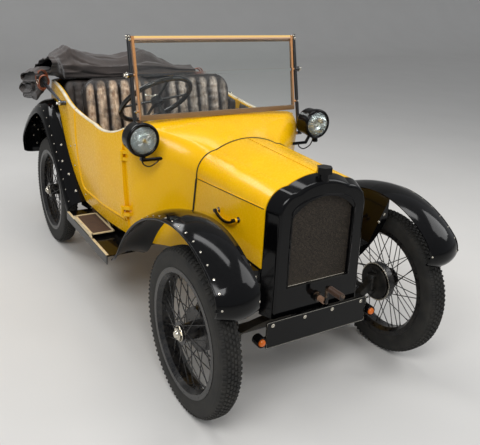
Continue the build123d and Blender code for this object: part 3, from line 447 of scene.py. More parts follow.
def strew(name, unit, spots, material, body="car", keep=False):
    """One object of copies of a unit, each set on a spot given as its place, facing and run."""
    mesh = bpy.data.meshes.new(name)
    mesh.from_pydata([tuple(spot[0]) for spot in spots], [], [])
    for key, which in (("facing", 1), ("run", 2)):
        values = mesh.attributes.new(key, "FLOAT_VECTOR", "POINT")
        values.data.foreach_set("vector", [c for spot in spots for c in spot[which]])
    carrier = bpy.data.objects.new(name + "_spots", mesh)
    scene.collection.objects.link(carrier)
    layer = carrier.modifiers.new("strew", "NODES")
    layer.node_group = strewing
    for item in strewing.interface.items_tree:
        if item.name == "Unit":
            layer[item.identifier] = unit
        if item.name == "Finish":
            layer[item.identifier] = material
    laid = bpy.data.meshes.new_from_object(carrier.evaluated_get(bpy.context.evaluated_depsgraph_get()))
    bpy.data.objects.remove(carrier)
    if not keep:
        bpy.data.objects.remove(unit)
    laid.name = name
    made = bpy.data.objects.new(name, laid)
    scene.collection.objects.link(made)
    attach(made, body)
    return made


def round_head(radius, height):
    """Domed bolt head on a thin washer, standing on its spot."""
    mesh = bmesh.new()
    add_turned(mesh, [(-0.001, 0), (-0.001, radius * 1.5), (0.0009, radius * 1.5), (0.0011, radius),
                      (height * 0.55, radius * 0.93), (height * 0.9, radius * 0.55), (height, 0)],
               (0, 0, 0), (0, 0, 1), 12)
    return shape("round_head", mesh, nickel)


def wing_edge(name, side, axle, widest, angles):
    """Outer edge of a wing as points, from rays that leave the wheel's axle line at each angle."""
    line = []
    for angle in angles:
        a = math.radians(angle)
        run = Vector((0, math.cos(a), math.sin(a)))
        x = widest
        while x > 0.44:
            found = hit(name, Vector((side * x, back(axle), axle_z)) + run * 0.30, run)
            if found:
                spot = found[0] + run * 0.002
                line.append(Vector((side * min(abs(spot.x), cad_box[1][0] - 0.0052),
                                    max(spot.y, cad_box[0][1] + 0.0052), spot.z)))
                break
            x -= 0.003
    return line


# Heads stand this far apart along the edge
head_pitch = 0.052
for side, name in ((1, "left"), (-1, "right")):
    front_angles = [2 + 2.5 * k for k in range(50)] + [127 + 1.0 * k for k in range(15)]
    rear_angles = [20 + 2.5 * k for k in range(62)]
    for part, axle, widest, angles in (("front_wings", 0, 0.5755, front_angles),
                                       ("rear_wings", 1905, 0.5895, rear_angles)):
        line = wing_edge(part, side, axle, widest, angles)
        # Along the nose the edge turns inwards to the valance
        if part == "front_wings":
            last = line[-1]
            line += [Vector((side * x, last.y, last.z)) for x in (0.49, 0.46, 0.43, 0.412)]
        edge = bmesh.new()
        add_tube(edge, smooth_line(line, 2), 0.0048, sides=10)
        piece(f"{part}_bead_{name}", edge, stove_enamel, "car")
        # Heads along the upper side of the edge
        spots = []
        walked = 0.0
        for before, here in zip(line, line[1:]):
            walked += (here - before).length
            if walked < head_pitch:
                continue
            walked = 0.0
            out = (here - Vector((here.x, back(axle), axle_z))).normalized()
            found = hit(part, here + out * 0.08 - Vector((side * 0.013, 0, 0)), -out)
            if found and found[0].y > cad_box[0][1] + 0.004:
                spots.append((found[0], found[1] if found[1].dot(out) > 0 else -found[1], here - before))
        strew(f"{part}_heads_{name}", round_head(0.0027, 0.0026), spots, nickel, "car")

# Inner valances: flat steel sheets behind each rear wheel, between the wing's crown and the body's tail. They
# keep the mud off the tail, and are riveted to the wing under its black stove enamel.
rear_axle = 1905
valance_x = 0.4525
sheet_thickness = 0.0015
for side, name in ((1, "left"), (-1, "right")):
    sheet = bmesh.new()
    rings = []
    for k in range(20):
        a = math.radians(-6 + 4.4 * k)
        run = Vector((0, math.cos(a), math.sin(a)))
        found = hit("rear_wings", Vector((side * valance_x, back(rear_axle), axle_z)) + run * 0.30, run)
        if not found:
            continue
        outer = found[0] - run * 0.001
        inner = Vector((outer.x, back(rear_axle) + (outer.y - back(rear_axle)) * 0.55,
                        max(0.50, axle_z + (outer.z - axle_z) * 0.62)))
        layer = Vector((side * sheet_thickness, 0, 0))
        rings.append([sheet.verts.new(p) for p in (outer, inner, inner - layer, outer - layer)])
    join_rings(sheet, rings)
    sheet.faces.new(rings[0])
    sheet.faces.new(rings[-1][::-1])
    piece(f"rear_valance_{name}", sheet, stove_enamel, "car")

# Stone guards: thin steel sheets that hang from the body's lower edge, between each running board and the
# rear wheel. They are stove enamelled black, and their foot falls a little towards the wheel.
guard_outside, guard_inside = 0.4535, 0.4518
for side, name in ((1, "left"), (-1, "right")):
    guard = bmesh.new()
    rows = []
    for station in range(1352, 1561, 16):
        roof = hit("body_tub", (side * 0.4525, back(station), 0.34), (0, 0, 1))
        top = min(roof[0].z + 0.001, 0.52) if roof else 0.455
        foot = 0.362 - 0.030 * (station - 1352) / 208
        rows.append([guard.verts.new((side * x, back(station), z))
                     for x, z in ((guard_outside, foot), (guard_outside, top), (guard_inside, top),
                                  (guard_inside, foot))])
    join_rings(guard, rows)
    guard.faces.new(rows[0])
    guard.faces.new(rows[-1][::-1])
    piece(f"stone_guard_{name}", guard, stove_enamel, "car")

# Bolts through the body side: nickel-plated round heads on washers. They hold the wings and the rear frame to
# the panels, and the apron beside the radiator to its stays.
body_bolts = [(1374, 801), (1387, 750), (1484, 722), (1322, 479), (1267, 460), (1202, 524), (1440, 620),
              (1452, 520)]
for side, name in ((1, "left"), (-1, "right")):
    spots = []
    for station, z in body_bolts:
        found = hit("body_tub", (side * 1.2, back(station), z / 1000), (-side, 0, 0))
        if found and abs(found[0].x) > 0.35:
            spots.append((found[0], found[1], (0, 0, 1)))
    strew(f"body_heads_{name}", round_head(0.0048, 0.0035), spots, nickel, "car")
    spots = []
    for x, z in [(0.500, 0.560), (0.545, 0.560), (0.500, 0.640), (0.545, 0.700), (0.500, 0.710),
                 (0.470, 0.600), (0.560, 0.620), (0.480, 0.500), (0.530, 0.480)]:
        found = hit("rear_wings", (side * x, back(1200), z), (0, 1, 0))
        if found:
            spots.append((found[0], found[1], (1, 0, 0)))
    strew(f"rear_wing_heads_{name}", round_head(0.0048, 0.0035), spots, nickel, "car")
    # Down the apron beside the radiator
    spots = []
    for x, z in [(0.30, 0.610), (0.33, 0.640), (0.262, 0.540), (0.262, 0.572), (0.30, 0.585), (0.365, 0.668),
                 (0.268, 0.520), (0.39, 0.700)]:
        found = hit("front_wings", (side * x, back(-400), z), (0, 1, 0))
        if found:
            spots.append((found[0], (0, -1, 0), (1, 0, 0)))
    strew(f"apron_heads_{name}", round_head(0.0048, 0.0038), spots, nickel, "car")

# Running gear: forged and rolled steel under brushed black chassis paint, satin, with grey road film. The
# engine is cast iron, the springs are oiled leaves, and the exhaust is bare steel that has burnt brown.
# Brushed on thick, and greyed by a film of road dirt
chassis_paint = clouded(
    "satin black chassis paint", (26, 6, 0.7), ("131312", "38342E"), (0.34, 0.62), (0.25, 0.001),
    spread=(0.42, 0.72))
dress(chassis_paint, "chassis_frame", "front_axle", "rear_axle", "knuckle_left", "knuckle_right", "track_rod",
      "steering_column")

# The rough skin of a sand casting, about 3 mm a grain
engine_paint = clouded(
    "cast iron under grey paint", (12, 4, 0.5), ("2C2D2C", "4A4844"), (0.45, 0.75), (0.5, 0.0012),
    gloss_cloud=(380, 4, 0.7), relief_cloud=(380, 4, 0.7), Metallic=0.3)
dress(engine_paint, "engine_block")

# Each leaf shows a scale of dark oxide with lighter rubbed edges
spring_steel = clouded(
    "oiled spring steel", (70, 5, 0.7), ("26241F", "5A554C"), (0.32, 0.6), (0.2, 0.0008),
    Metallic=0.7)
dress(spring_steel, "front_spring", "rear_springs", "levers")

# Brown rust bloom over dark pipe
burnt_steel = clouded(
    "burnt exhaust steel", (34, 6, 0.7), ("2E2822", "6B4328"), (0.5, 0.85), (0.4, 0.0012),
    spread=(0.4, 0.7), Metallic=0.4)
dress(burnt_steel, "exhaust")

# Wire wheels: spoked steel rims in black enamel. Each spoke ends in a nipple at the rim, the hub carries a
# nickel cap nut, and the drum has a bright turned edge.
# Glossy black, dulled by a little brown brake dust
wheel_enamel = clouded(
    "black wheel enamel", (55, 5, 0.65), ("0E0E0F", "35302A"), (0.18, 0.4), (0.12, 0.0006),
    spread=(0.45, 0.75), most=0.8)
wheels = []
for place_name in ("front_left", "front_right", "rear_left", "rear_right", "spare"):
    low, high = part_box(f"tyre_{place_name}")
    outward = Vector((0, 1, 0) if place_name == "spare"
                     else (1 if "left" in place_name else -1, 0, 0))
    sideways = Vector((0, 0, 1)).cross(outward)
    wheels.append((place_name, (low + high) / 2, outward, sideways,
                   "car" if place_name == "spare" else f"wheel_{place_name}_body"))
    dress(wheel_enamel, f"wheel_{place_name}")


def round_wheel(centre, outward, sideways, along, radius, turn):
    """Place on a wheel: along its axle, at a radius and a turn in degrees."""
    a = math.radians(turn)
    return centre + outward * along + radius * (sideways * math.cos(a) + Vector((0, 0, 1)) * math.sin(a))


# Two rows of spokes: where each leaves the hub, the hub's radius there, and where it meets the rim
spoke_rows = [(0.042, 0.041, 0.009), (-0.024, 0.072, -0.009)]
spoke_lead = 38
rim_well = 0.2245
for name, centre, outward, sideways, body in wheels:
    spots = []
    for hub_x, hub_radius, rim_x in spoke_rows:
        for k in range(20):
            foot = round_wheel(centre, outward, sideways, hub_x, hub_radius, 18 * k)
            lead = spoke_lead if k % 2 else -spoke_lead
            tip = round_wheel(centre, outward, sideways, rim_x, rim_well, 18 * k + lead)
            spots.append((tip, foot - tip, outward))
    nipple = bmesh.new()
    add_turned(nipple, [(-0.004, 0.0036), (0.006, 0.0036), (0.008, 0.0030), (0.017, 0.0027), (0.018, 0.0018)],
               (0, 0, 0), (0, 0, 1), 8)
    strew(f"nipples_{name}", shape("nipple", nipple, nickel), spots, wheel_enamel, body)
    cap = bmesh.new()
    add_turned(cap, [(0.0475, 0.0), (0.0475, 0.0305), (0.0495, 0.0315), (0.0512, 0.0305), (0.0512, 0.0285)],
               centre, outward, 36)
    add_turned(cap, [(0.0500, 0.0), (0.0500, 0.0278), (0.0580, 0.0278), (0.0600, 0.0245), (0.0602, 0.0150)],
               centre, outward, 6)
    add_turned(cap, [(0.0585, 0.0165), (0.0640, 0.0155), (0.0690, 0.0120), (0.0715, 0.0060), (0.0720, 0.0)],
               centre, outward, 24)
    piece(f"hub_cap_{name}", cap, nickel, body, 30)
    ring = bmesh.new()
    add_turned(ring, [(-0.0585, 0.0840), (-0.0590, 0.0868), (-0.0585, 0.0892), (-0.0545, 0.0896),
                      (-0.0535, 0.0882), (-0.0535, 0.0850)], centre, outward, 64)
    piece(f"drum_edge_{name}", ring, nickel, body)
    valve = bmesh.new()
    stem = [round_wheel(centre, outward, sideways, 0.006, r, 9) for r in (0.223, 0.212, 0.2115, 0.196)]
    add_tube(valve, stem[:2], 0.0042, 10)
    add_tube(valve, stem[2:], 0.0034, 10)
    piece(f"valve_{name}", valve, nickel, body)

# Tyres: high-pressure beaded-edge covers of black rubber, moulded with square blocks on the crown and short
# bars on the shoulders, with fine ribs round the sidewall.
# Dried rubber greys in patches a hand wide, with a fine moulded grain
tyre_rubber = clouded(
    "black tyre rubber", (18, 5, 0.6), ("1B1B1A", "33312D"), (0.62, 0.82), (0.35, 0.0006),
    spread=(0.3, 0.75), relief_cloud=(900, 3, 0.5), Specular_IOR_Level=0.35)
tyre_half = [(0.036, 0.2432), (0.0375, 0.2500), (0.0390, 0.2530), (0.0388, 0.2560), (0.0400, 0.2590),
             (0.0398, 0.2640), (0.0408, 0.2660), (0.0412, 0.2740), (0.0418, 0.2820), (0.0420, 0.2880),
             (0.0418, 0.2950), (0.0410, 0.3010), (0.0412, 0.3030), (0.0404, 0.3050), (0.0394, 0.3110),
             (0.0370, 0.3180), (0.0330, 0.3230), (0.0270, 0.3266), (0.0180, 0.3290), (0.0090, 0.3301)]
tyre_profile = tyre_half + [(0.0, 0.3304)] + [(-x, r) for x, r in tyre_half[::-1]]


def tread_block(length, width, height, taper):
    """Moulded block standing on its spot, narrower at the top."""
    mesh = bmesh.new()
    made = bmesh.ops.create_cube(mesh, size=1.0)["verts"]
    for corner in made:
        top = corner.co.z > 0
        shrink = taper if top else 1.0
        corner.co = Vector((corner.co.x * length * shrink, corner.co.y * width * shrink,
                            height if top else -0.004))
    edges = [edge for edge in mesh.edges if all(corner.co.z > 0 for corner in edge.verts)]
    bmesh.ops.bevel(mesh, geom=edges, offset=0.0009, segments=1, affect="EDGES")
    return shape("tread_block", mesh, tyre_rubber, 50)


blocks_round = 96
block_turn = 360 / blocks_round
crown_block = tread_block(0.0150, 0.0098, 0.0051, 0.9)
shoulder_block = tread_block(0.0095, 0.0150, 0.0036, 0.9)
for name, centre, outward, sideways, body in wheels:
    cover = bmesh.new()
    rings = add_turned(cover, tyre_profile, centre, outward, 120)
    # The bead seat closes the cover against the rim
    join_rings(cover, [rings[-1], rings[0]])
    tyre = piece(f"cover_{name}", cover, tyre_rubber, body, 60)
    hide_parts(f"tyre_{name}")
    spots = []
    for row, across_tyre in enumerate((-0.0192, -0.0064, 0.0064, 0.0192)):
        for k in range(blocks_round):
            turn = (k + 0.5 * (row % 2)) * block_turn
            foot = round_wheel(centre, outward, sideways, across_tyre,
                               0.3303 - 0.9 * across_tyre ** 2 / 0.33, turn)
            hub = centre + outward * across_tyre * 0.45
            ahead = round_wheel(Vector(), outward, sideways, 0, 1, turn + 90)
            spots.append((foot, foot - hub, ahead))
    strew(f"tread_{name}", crown_block, spots, tyre_rubber, body, keep=True)
    spots = []
    for side in (-1, 1):
        for k in range(blocks_round):
            turn = (k + 0.25 * side) * block_turn
            foot = round_wheel(centre, outward, sideways, side * 0.0318, 0.3240, turn)
            hub = centre + outward * side * -0.14
            ahead = round_wheel(Vector(), outward, sideways, 0, 1, turn + 90)
            spots.append((foot, foot - hub, ahead))
    strew(f"shoulder_tread_{name}", shoulder_block, spots, tyre_rubber, body, keep=True)
bpy.data.objects.remove(crown_block)
bpy.data.objects.remove(shoulder_block)

# Radiator: a honeycomb core behind a black shell. The core is a block of fine brass tubes soldered together,
# dull brown-black, with a bright strip along its foot.
core_mesh, tree, shader, place = finish("blackened brass honeycomb")
# Cells of 5 mm: the pits are painted near black as shade, and the walls between them brown with a painted
# glint
cells = node(tree, "ShaderNodeTexVoronoi", "Distance", {"Vector": place, "Scale": 190, "Randomness": 0.15},
             feature="DISTANCE_TO_EDGE")
walls_lit_pits_shaded = node(tree, "ShaderNodeMapRange", 0, {"Value": cells, "From Min": 0.02, "From Max": 0.16,
                                                  "To Min": 1, "To Max": 0})
# Painted shade in the pits and a painted glint on the walls
paint = node(tree, "ShaderNodeMix", 2, {0: walls_lit_pits_shaded, 6: "0B0A09", 7: "5E5346"}, data_type="RGBA")
set_shader(tree, shader, [(walls_lit_pits_shaded, 0.9, 0.002)], Base_Color=paint, Metallic=0.5, Roughness=0.5)
dress(core_mesh, "radiator_core")
strip = bmesh.new()
add_bar(strip, (-0.149, back(-120), 0.4955), (0.149, back(-113.5), 0.5010), 0.001)
piece("core_foot_strip", strip, nickel, "car")
# A half-round bead frames the opening in the shell
frame_line = [(-0.150, 0.500), (-0.150, 0.60), (-0.150, 0.70), (-0.150, 0.786)]
opening = [Vector((x, 0, z)) for x, z in frame_line]
opening += [Vector((0.150 * math.sin(a) / math.sin(math.radians(95)), 0, 0.790 + 0.068 * math.cos(a * 0.95)))
            for a in [math.radians(12 * k) for k in range(-7, 8)]]
opening += [Vector((x, 0, z)) for x, z in [(-x, z) for x, z in frame_line[::-1]]]
bead_points = []
for spot in opening:
    out = Vector((spot.x, 0, spot.z - 0.66)).normalized() * 0.006
    found = hit("radiator_shell", (spot.x + out.x, back(-300), spot.z + out.z), (0, 1, 0))
    if found:
        bead_points.append(found[0])
shell_bead = bmesh.new()
add_tube(shell_bead, smooth_line(bead_points, 3), 0.0032, 8)
piece("shell_bead", shell_bead, stove_enamel, "car")

# Bonnet: two leaves on long piano hinges, one down the middle and one along each shoulder, each a wire
# through rolled knuckles about 40 mm long. A black strip beside the shoulder knuckles is painted shade in the
# joint.
# Woven black tape, its near black also standing as painted shade in the joints; its threads of about 2 mm
# only break the surface
black_tape_and_painted_shade = clouded(
    "black waxed tape", (600, 3, 0.5), ("060505", "15110D"), (0.6, 0.8), (0.3, 0.0006))


def piano_hinge(mesh, line, radius):
    """Row of rolled knuckles along a line, added to a bmesh."""
    total = sum((b - a).length for a, b in zip(line, line[1:]))
    count = max(2, round(total / 0.040))
    fine = smooth_line(line, 24)
    for k in range(count):
        first = int(k / count * (len(fine) - 1))
        last = int((k + 1) / count * (len(fine) - 1))
        knuckle = fine[first:last]
        if len(knuckle) > 1:
            add_tube(mesh, knuckle, radius, 8)
    add_tube(mesh, fine, radius * 0.6, 6)


for side, name in ((1, "left"), (-1, "right")):
    bonnet = f"bonnet_{name}"
    wire, joint = [], []
    for k in range(11):
        station = -56 + 506 * k / 10
        z = 815 - 22 * k / 10
        wire.append(side_point(bonnet, side, station, z + 3.5, 0.0002))
        joint.append(side_point(bonnet, side, station, z, 0.0))
    shoulder = bmesh.new()
    piano_hinge(shoulder, [p for p in wire if p], 0.0021)
    piece(f"{bonnet}_shoulder_hinge", shoulder, coach_enamel, f"{bonnet}_body")
    # Black strip along the joint below the knuckles: painted shade
    shade_strip = bmesh.new()
    add_tube(shade_strip, smooth_line([p for p in joint if p], 6), 0.0019, 6)
    piece(f"{bonnet}_shoulder_joint", shade_strip, black_tape_and_painted_shade, f"{bonnet}_body")
ridge = bmesh.new()
line = [Vector((0, back(-60 + 512 * k / 8), 0.9370 + 0.0190 * k / 8)) for k in range(9)]
piano_hinge(ridge, line, 0.0022)
piece("bonnet_centre_hinge", ridge, coach_enamel, "car")
# Black woven tape lies in the joint between the bonnet and the scuttle, its near black also painted shade of
# the gap
tape = bmesh.new()
line = []
for k in range(61):
    a = math.radians(-42 + 264 * k / 60)
    run = Vector((math.cos(a), 0, math.sin(a)))
    leaf = "bonnet_left" if run.x > 0 else "bonnet_right"
    found = hit(leaf, Vector((0, back(450), 0.72)) + run * 0.7, -run)
    if found and found[0].x * run.x > -0.001:
        line.append(Vector((found[0].x, back(457.5), found[0].z)) + run * 0.0005)
add_tube(tape, smooth_line(line, 2), 0.0036, 8)
for side in (1, -1):
    cheek = [p + Vector((side * 0.001, 0, 0)) for p in line if side * p.x > 0 and p.z < 0.80]
    add_tube(tape, smooth_line(cheek, 2), 0.0052, 8)
piece("bonnet_tape", tape, black_tape_and_painted_shade, "car")

# Bonnet handles: forged steel bows, japanned black, one on each side panel. Each is bolted on through two
# flared feet.
# Worn through to brown metal where fingers hold it
japan = clouded(
    "black japan on steel", (45, 4, 0.5), ("141211", "6E5A48"), (0.16, 0.34), (0.08, 0.0006),
    spread=(0.5, 0.72), Metallic=0.4)
for side, name in ((1, "left"), (-1, "right")):
    grip = bmesh.new()
    for station, z in ((108, 716), (258, 710)):
        found = hit(f"bonnet_{name}", (side * 0.35, back(station), z / 1000 + 0.012), (-side, 0, 0))
        if found:
            add_turned(grip, [(-0.001, 0), (-0.001, 0.0125), (0.003, 0.0120), (0.0065, 0.0085),
                              (0.014, 0.0072), (0.018, 0.0075), (0.0195, 0)],
                       (found[0].x, back(station), z / 1000), (side, 0, 0), 20)
    piece(f"handle_feet_{name}", grip, japan, f"bonnet_{name}_body")

# Headlamps: a black bowl with a bead round its rim, and inside it a silvered dish, a bulb and a moulded
# front glass with prisms that run out from the middle.
# Bright silver, slightly uneven from the spinning of the dish
mirror_silver = clouded(
    "silvered reflector", (40, 4, 0.5), ("E4E7E8", "FBFCFC"), (0.12, 0.22), (0.1, 0.001),
    gloss_cloud=(90, 3, 0.5), relief_cloud=(120, 2, 0.5), Metallic=1.0)
# Clear with a green cast, and small ripples of the mould
lamp_glass = clouded(
    "moulded lamp glass", (30, 2, 0.5), ("EDF6F2", "FAFDFC"), (0.0, 0.05), (0.08, 0.001),
    gloss_cloud=(70, 2, 0.5), relief_cloud=(160, 2, 0.5), Transmission_Weight=1.0, IOR=1.5)
# Milky warm white, with a faint painted glow
bulb_glass_painted_glow = clouded(
    "frosted bulb", (60, 2, 0.5), ("F2EBD8", "FFFBF0"), 0.35, (0.1, 0.0004),
    relief_cloud=(300, 2, 0.5), Emission_Color="FFF1CF", Emission_Strength=0.25)
for side, name in ((1, "left"), (-1, "right")):
    centre = Vector((side * 0.474, back(578), 0.966))
    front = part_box("headlamp_lenses")[0].y - centre.y
    bore = hit("headlamps", centre + Vector((0.02, -0.15, 0.012)), (0, 1, 0))
    depth = bore[0].y - centre.y if bore else 0.02
    dish = bmesh.new()
    rim = front + 0.010
    steps = [(rim + (depth - 0.003 - rim) * (1 - (r / 0.0605) ** 2), r)
             for r in [0.0605 * k / 14 for k in range(15)]]
    add_turned(dish, steps[::-1] + [(depth - 0.0015, 0.0)], centre, (0, 1, 0), 48)
    piece(f"reflector_{name}", dish, mirror_silver, "car", 60)
    bulb = bmesh.new()
    add_turned(bulb, [(rim + 0.003, 0), (rim + 0.005, 0.005), (rim + 0.010, 0.0078), (rim + 0.015, 0.0072),
                      (rim + 0.022, 0.0050)], centre, (0, 1, 0), 20)
    piece(f"bulb_{name}", bulb, bulb_glass_painted_glow, "car")
    prism = bmesh.new()
    # Moulded front: 24 flat-sided prisms round a plain boss
    ring_radii = [0.0, 0.010, 0.018, 0.034, 0.050, 0.0600]
    rings = []
    for i, r in enumerate(ring_radii):
        if i == 0:
            rings.append([prism.verts.new(centre + Vector((0, front - 0.0035, 0)))])
            continue
        ring = []
        for k in range(96):
            a = 2 * math.pi * k / 96
            ridge_high = 0.0028 * (1 - abs((k % 4) - 2) / 2) * (1 if i > 1 else 0) * (0 if i == 5 else 1)
            crown = -0.0035 * (1 - (r / 0.060) ** 2)
            ring.append(prism.verts.new(centre + Vector((r * math.cos(a), front + crown - ridge_high,
                                                         r * math.sin(a)))))
        rings.append(ring)
    rings.append([prism.verts.new(v.co + Vector((0, 0.0008, 0))) for v in rings[-1]])
    rings.append([prism.verts.new(centre + Vector((0, front + 0.0008, 0)))])
    join_rings(prism, rings)
    front_glass = piece(f"lamp_prisms_{name}", prism, lamp_glass, "car", 12)
    if side > 0:
        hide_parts("headlamp_lenses")
    bezel = bmesh.new()
    bezel_y = hit("headlamps", centre + Vector((0.068, -0.15, 0)), (0, 1, 0))[0].y - centre.y
    add_turned(bezel, [(bezel_y - 0.0005, 0.0615), (bezel_y - 0.0035, 0.0640), (bezel_y - 0.0045, 0.0680),
                       (bezel_y - 0.0030, 0.0722), (bezel_y + 0.0030, 0.0752), (bezel_y + 0.0100, 0.0756),
                       (bezel_y + 0.0102, 0.0740)], centre, (0, 1, 0), 64)
    piece(f"lamp_bezel_{name}", bezel, stove_enamel, "car", 60)
    # Clip at the foot of the rim, and the cable in its loom that hangs in a loop to the bracket
    clip = bmesh.new()
    add_bar(clip, centre + Vector((-0.010, bezel_y + 0.002, -0.094)),
            centre + Vector((0.010, bezel_y + 0.026, -0.070)), 0.003)
    add_turned(clip, [(0, 0), (0, 0.006), (0.008, 0.006), (0.010, 0.003), (0.010, 0)],
               centre + Vector((0, bezel_y + 0.004, -0.084)), (0, -1, 0), 12)
    piece(f"lamp_clip_{name}", clip, stove_enamel, "car")
    loom = bmesh.new()
    path = [(0.0, bezel_y + 0.030, -0.088), (side * -0.014, bezel_y + 0.036, -0.118),
            (side * -0.045, bezel_y + 0.044, -0.134), (side * -0.075, bezel_y + 0.040, -0.120),
            (side * -0.088, bezel_y + 0.034, -0.104)]
    add_tube(loom, smooth_line([centre + Vector(p) for p in path], 8), 0.0032, 8)
    piece(f"lamp_cable_{name}", loom, japan, "car")

# Windscreen: two panes in an ash frame. The side bars are varnished brown wood and the top bar is paler with
# a brass strip, held between black steel posts with nickel finials and pivots.
# Drawn glass with long faint waves and a little haze
pane_glass = clouded(
    "clear window glass", (3, 2, 0.5), ("F6FBF8", "FDFEFD"), (0.0, 0.03), (0.02, 0.001),
    gloss_cloud=(9, 5, 0.5),
    relief_cloud=(4, 1, 0.5), Transmission_Weight=1.0, IOR=1.45, Specular_IOR_Level=0.4)
dress(pane_glass, "windscreen_glass")

# Varnished wood with a silky shine beside dull black posts and a bright strip
screen_frame, tree, shader, place = finish("varnished ash, brass and black steel")
parts = node(tree, "ShaderNodeSeparateXYZ", None, {"Vector": place}).outputs
# Wood grain runs along each bar: stretched noise of about 2 mm across, 8 cm along
streaks = []
for stretch in ((420, 420, 12), (12, 420, 420)):
    along = node(tree, "ShaderNodeMapping", 0, {"Vector": place, "Scale": stretch})
    streaks.append(node(tree, "ShaderNodeTexNoise", 0, {"Vector": along, "Scale": 1, "Detail": 5,
                                                        "Roughness": 0.6}))
streak_up, streak_level = streaks
aside = node(tree, "ShaderNodeMath", 0, {0: parts["X"]}, operation="ABSOLUTE")
is_side, is_post, is_top, is_strip = [
    node(tree, "ShaderNodeMath", 0, {0: where, 1: edge}, operation="GREATER_THAN")
    for where, edge in ((aside, 0.4265), (aside, 0.4425), (parts["Z"], 1.366), (parts["Z"], 1.3795))]
side_wood, foot_wood, top_wood = [
    node(tree, "ShaderNodeMix", 2, {0: streak, 6: dark, 7: light}, data_type="RGBA")
    for streak, dark, light in ((streak_up, "8A5528", "DBA064"), (streak_level, "58422F", "A08058"),
                                (streak_level, "B98E73", "E3C2A4"))]
# Between the panes the glass edges meet with no bar
meeting = node(tree, "ShaderNodeMath", 0, {0: parts["Z"], 1: 1.2185, 2: 0.0085}, operation="COMPARE")
not_side = node(tree, "ShaderNodeMath", 0, {0: 1.0, 1: is_side}, operation="SUBTRACT")
clear = node(tree, "ShaderNodeMath", 0, {0: meeting, 1: not_side}, operation="MULTIPLY")
top_bar = node(tree, "ShaderNodeMix", 2, {0: is_strip, 6: top_wood, 7: "F2CB7E"}, data_type="RGBA")
bar = foot_wood
for mask, paint in ((is_top, top_bar), (is_side, side_wood), (clear, "F6FBF8"), (is_post, "0B0A0B")):
    bar = node(tree, "ShaderNodeMix", 2, {0: mask, 6: bar, 7: paint}, data_type="RGBA")
covered = node(tree, "ShaderNodeMath", 0, {0: 1.0, 1: clear}, operation="SUBTRACT")
varnish = node(tree, "ShaderNodeMapRange", 0, {"Value": streak_level, "To Min": 0.2, "To Max": 0.42})
sheen = node(tree, "ShaderNodeMath", 0, {0: varnish, 1: covered, 2: 0.01}, operation="MULTIPLY_ADD")
set_shader(tree, shader, [(streak_level, 0.08, 0.0008), (streak_up, 0.08, 0.0008)], Base_Color=bar,
           Transmission_Weight=clear, Roughness=sheen, Coat_Weight=0.4, Coat_Roughness=0.12)
dress(screen_frame, "windscreen_frame")
# Capping of the top bar and the foot bar, which stand proud of the side bars
capping = bmesh.new()
for half, low_z, high_z, reach in ((0.4385, 1.3570, 1.3765, 0.004), (0.4280, 1.0180, 1.0420, 0.003)):
    face = hit("windscreen_frame", (0.20, back(500), (low_z + high_z) / 2 + 0.004), (0, 1, 0))
    if face:
        add_bar(capping, (-half, face[0].y - reach, low_z), (half, face[0].y + 0.012, high_z), 0.003)
piece("screen_capping", capping, screen_frame, "car")
for side, name in ((1, "left"), (-1, "right")):
    knobs = bmesh.new()
    # Ferrule over the post's top, with a small domed finial
    ferrule = Vector((side * 0.452, back(774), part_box("windscreen_frame")[1].z - 0.0225))
    add_turned(knobs, [(0, 0), (0, 0.0108), (0.0035, 0.0116), (0.0050, 0.0104), (0.0110, 0.0104),
                       (0.0130, 0.0114), (0.0165, 0.0112), (0.0205, 0.0078), (0.0222, 0)],
               ferrule, (0, 0, 1), 24)
    pivot = Vector((side * 0.474, back(738), 1.220))
    add_turned(knobs, [(-0.003, 0), (-0.003, 0.0135), (0.001, 0.0140), (0.004, 0.0125), (0.006, 0.0075),
                       (0.010, 0.0085), (0.014, 0.0070), (0.0155, 0)], pivot, (side, 0, 0), 24)
    for z in (1.060, 1.374):
        bridge = hit("windscreen_frame", (side * 0.451, back(500), z), (0, 1, 0))
        if bridge:
            add_turned(knobs, [(-0.001, 0), (-0.001, 0.0065), (0.002, 0.0060), (0.0034, 0.0030), (0.0036, 0)],
                       bridge[0], (0, -1, 0), 16)
    piece(f"screen_fittings_{name}", knobs, nickel, "car", 30)

# Front seats: leather over horsehair, stitched into upright flutes. The two squabs lean back with rounded
# shoulders, the driver's tan and smoother, the passenger's greyer and more creased; each cushion matches.
seat_leather, tree, shader, place, rubbed, pores = finish("worn brown leather", (13, 5, 0.62), (420, 3, 0.5))
# The crowns of the flutes are rubbed to tan and carry a painted highlight, and the valleys are dark dye and
# painted shade; fine cracks run through both.
# Each flute is worn and lit by its own amount, as painted light and shade, over a width of about 70 mm
crown = node(tree, "ShaderNodeAttribute", "Fac", attribute_name="crown")
patterns = []
for stretch, detail, rough in (((70, 70, 16), 6, 0.7), ((13, 0.5, 2.5), 2, 0.5)):
    along = node(tree, "ShaderNodeMapping", 0, {"Vector": place, "Scale": stretch})
    patterns.append(node(tree, "ShaderNodeTexNoise", 0, {"Vector": along, "Scale": 1, "Detail": detail,
                                                         "Roughness": rough}))
cracks, flute_noise_wear_light = patterns
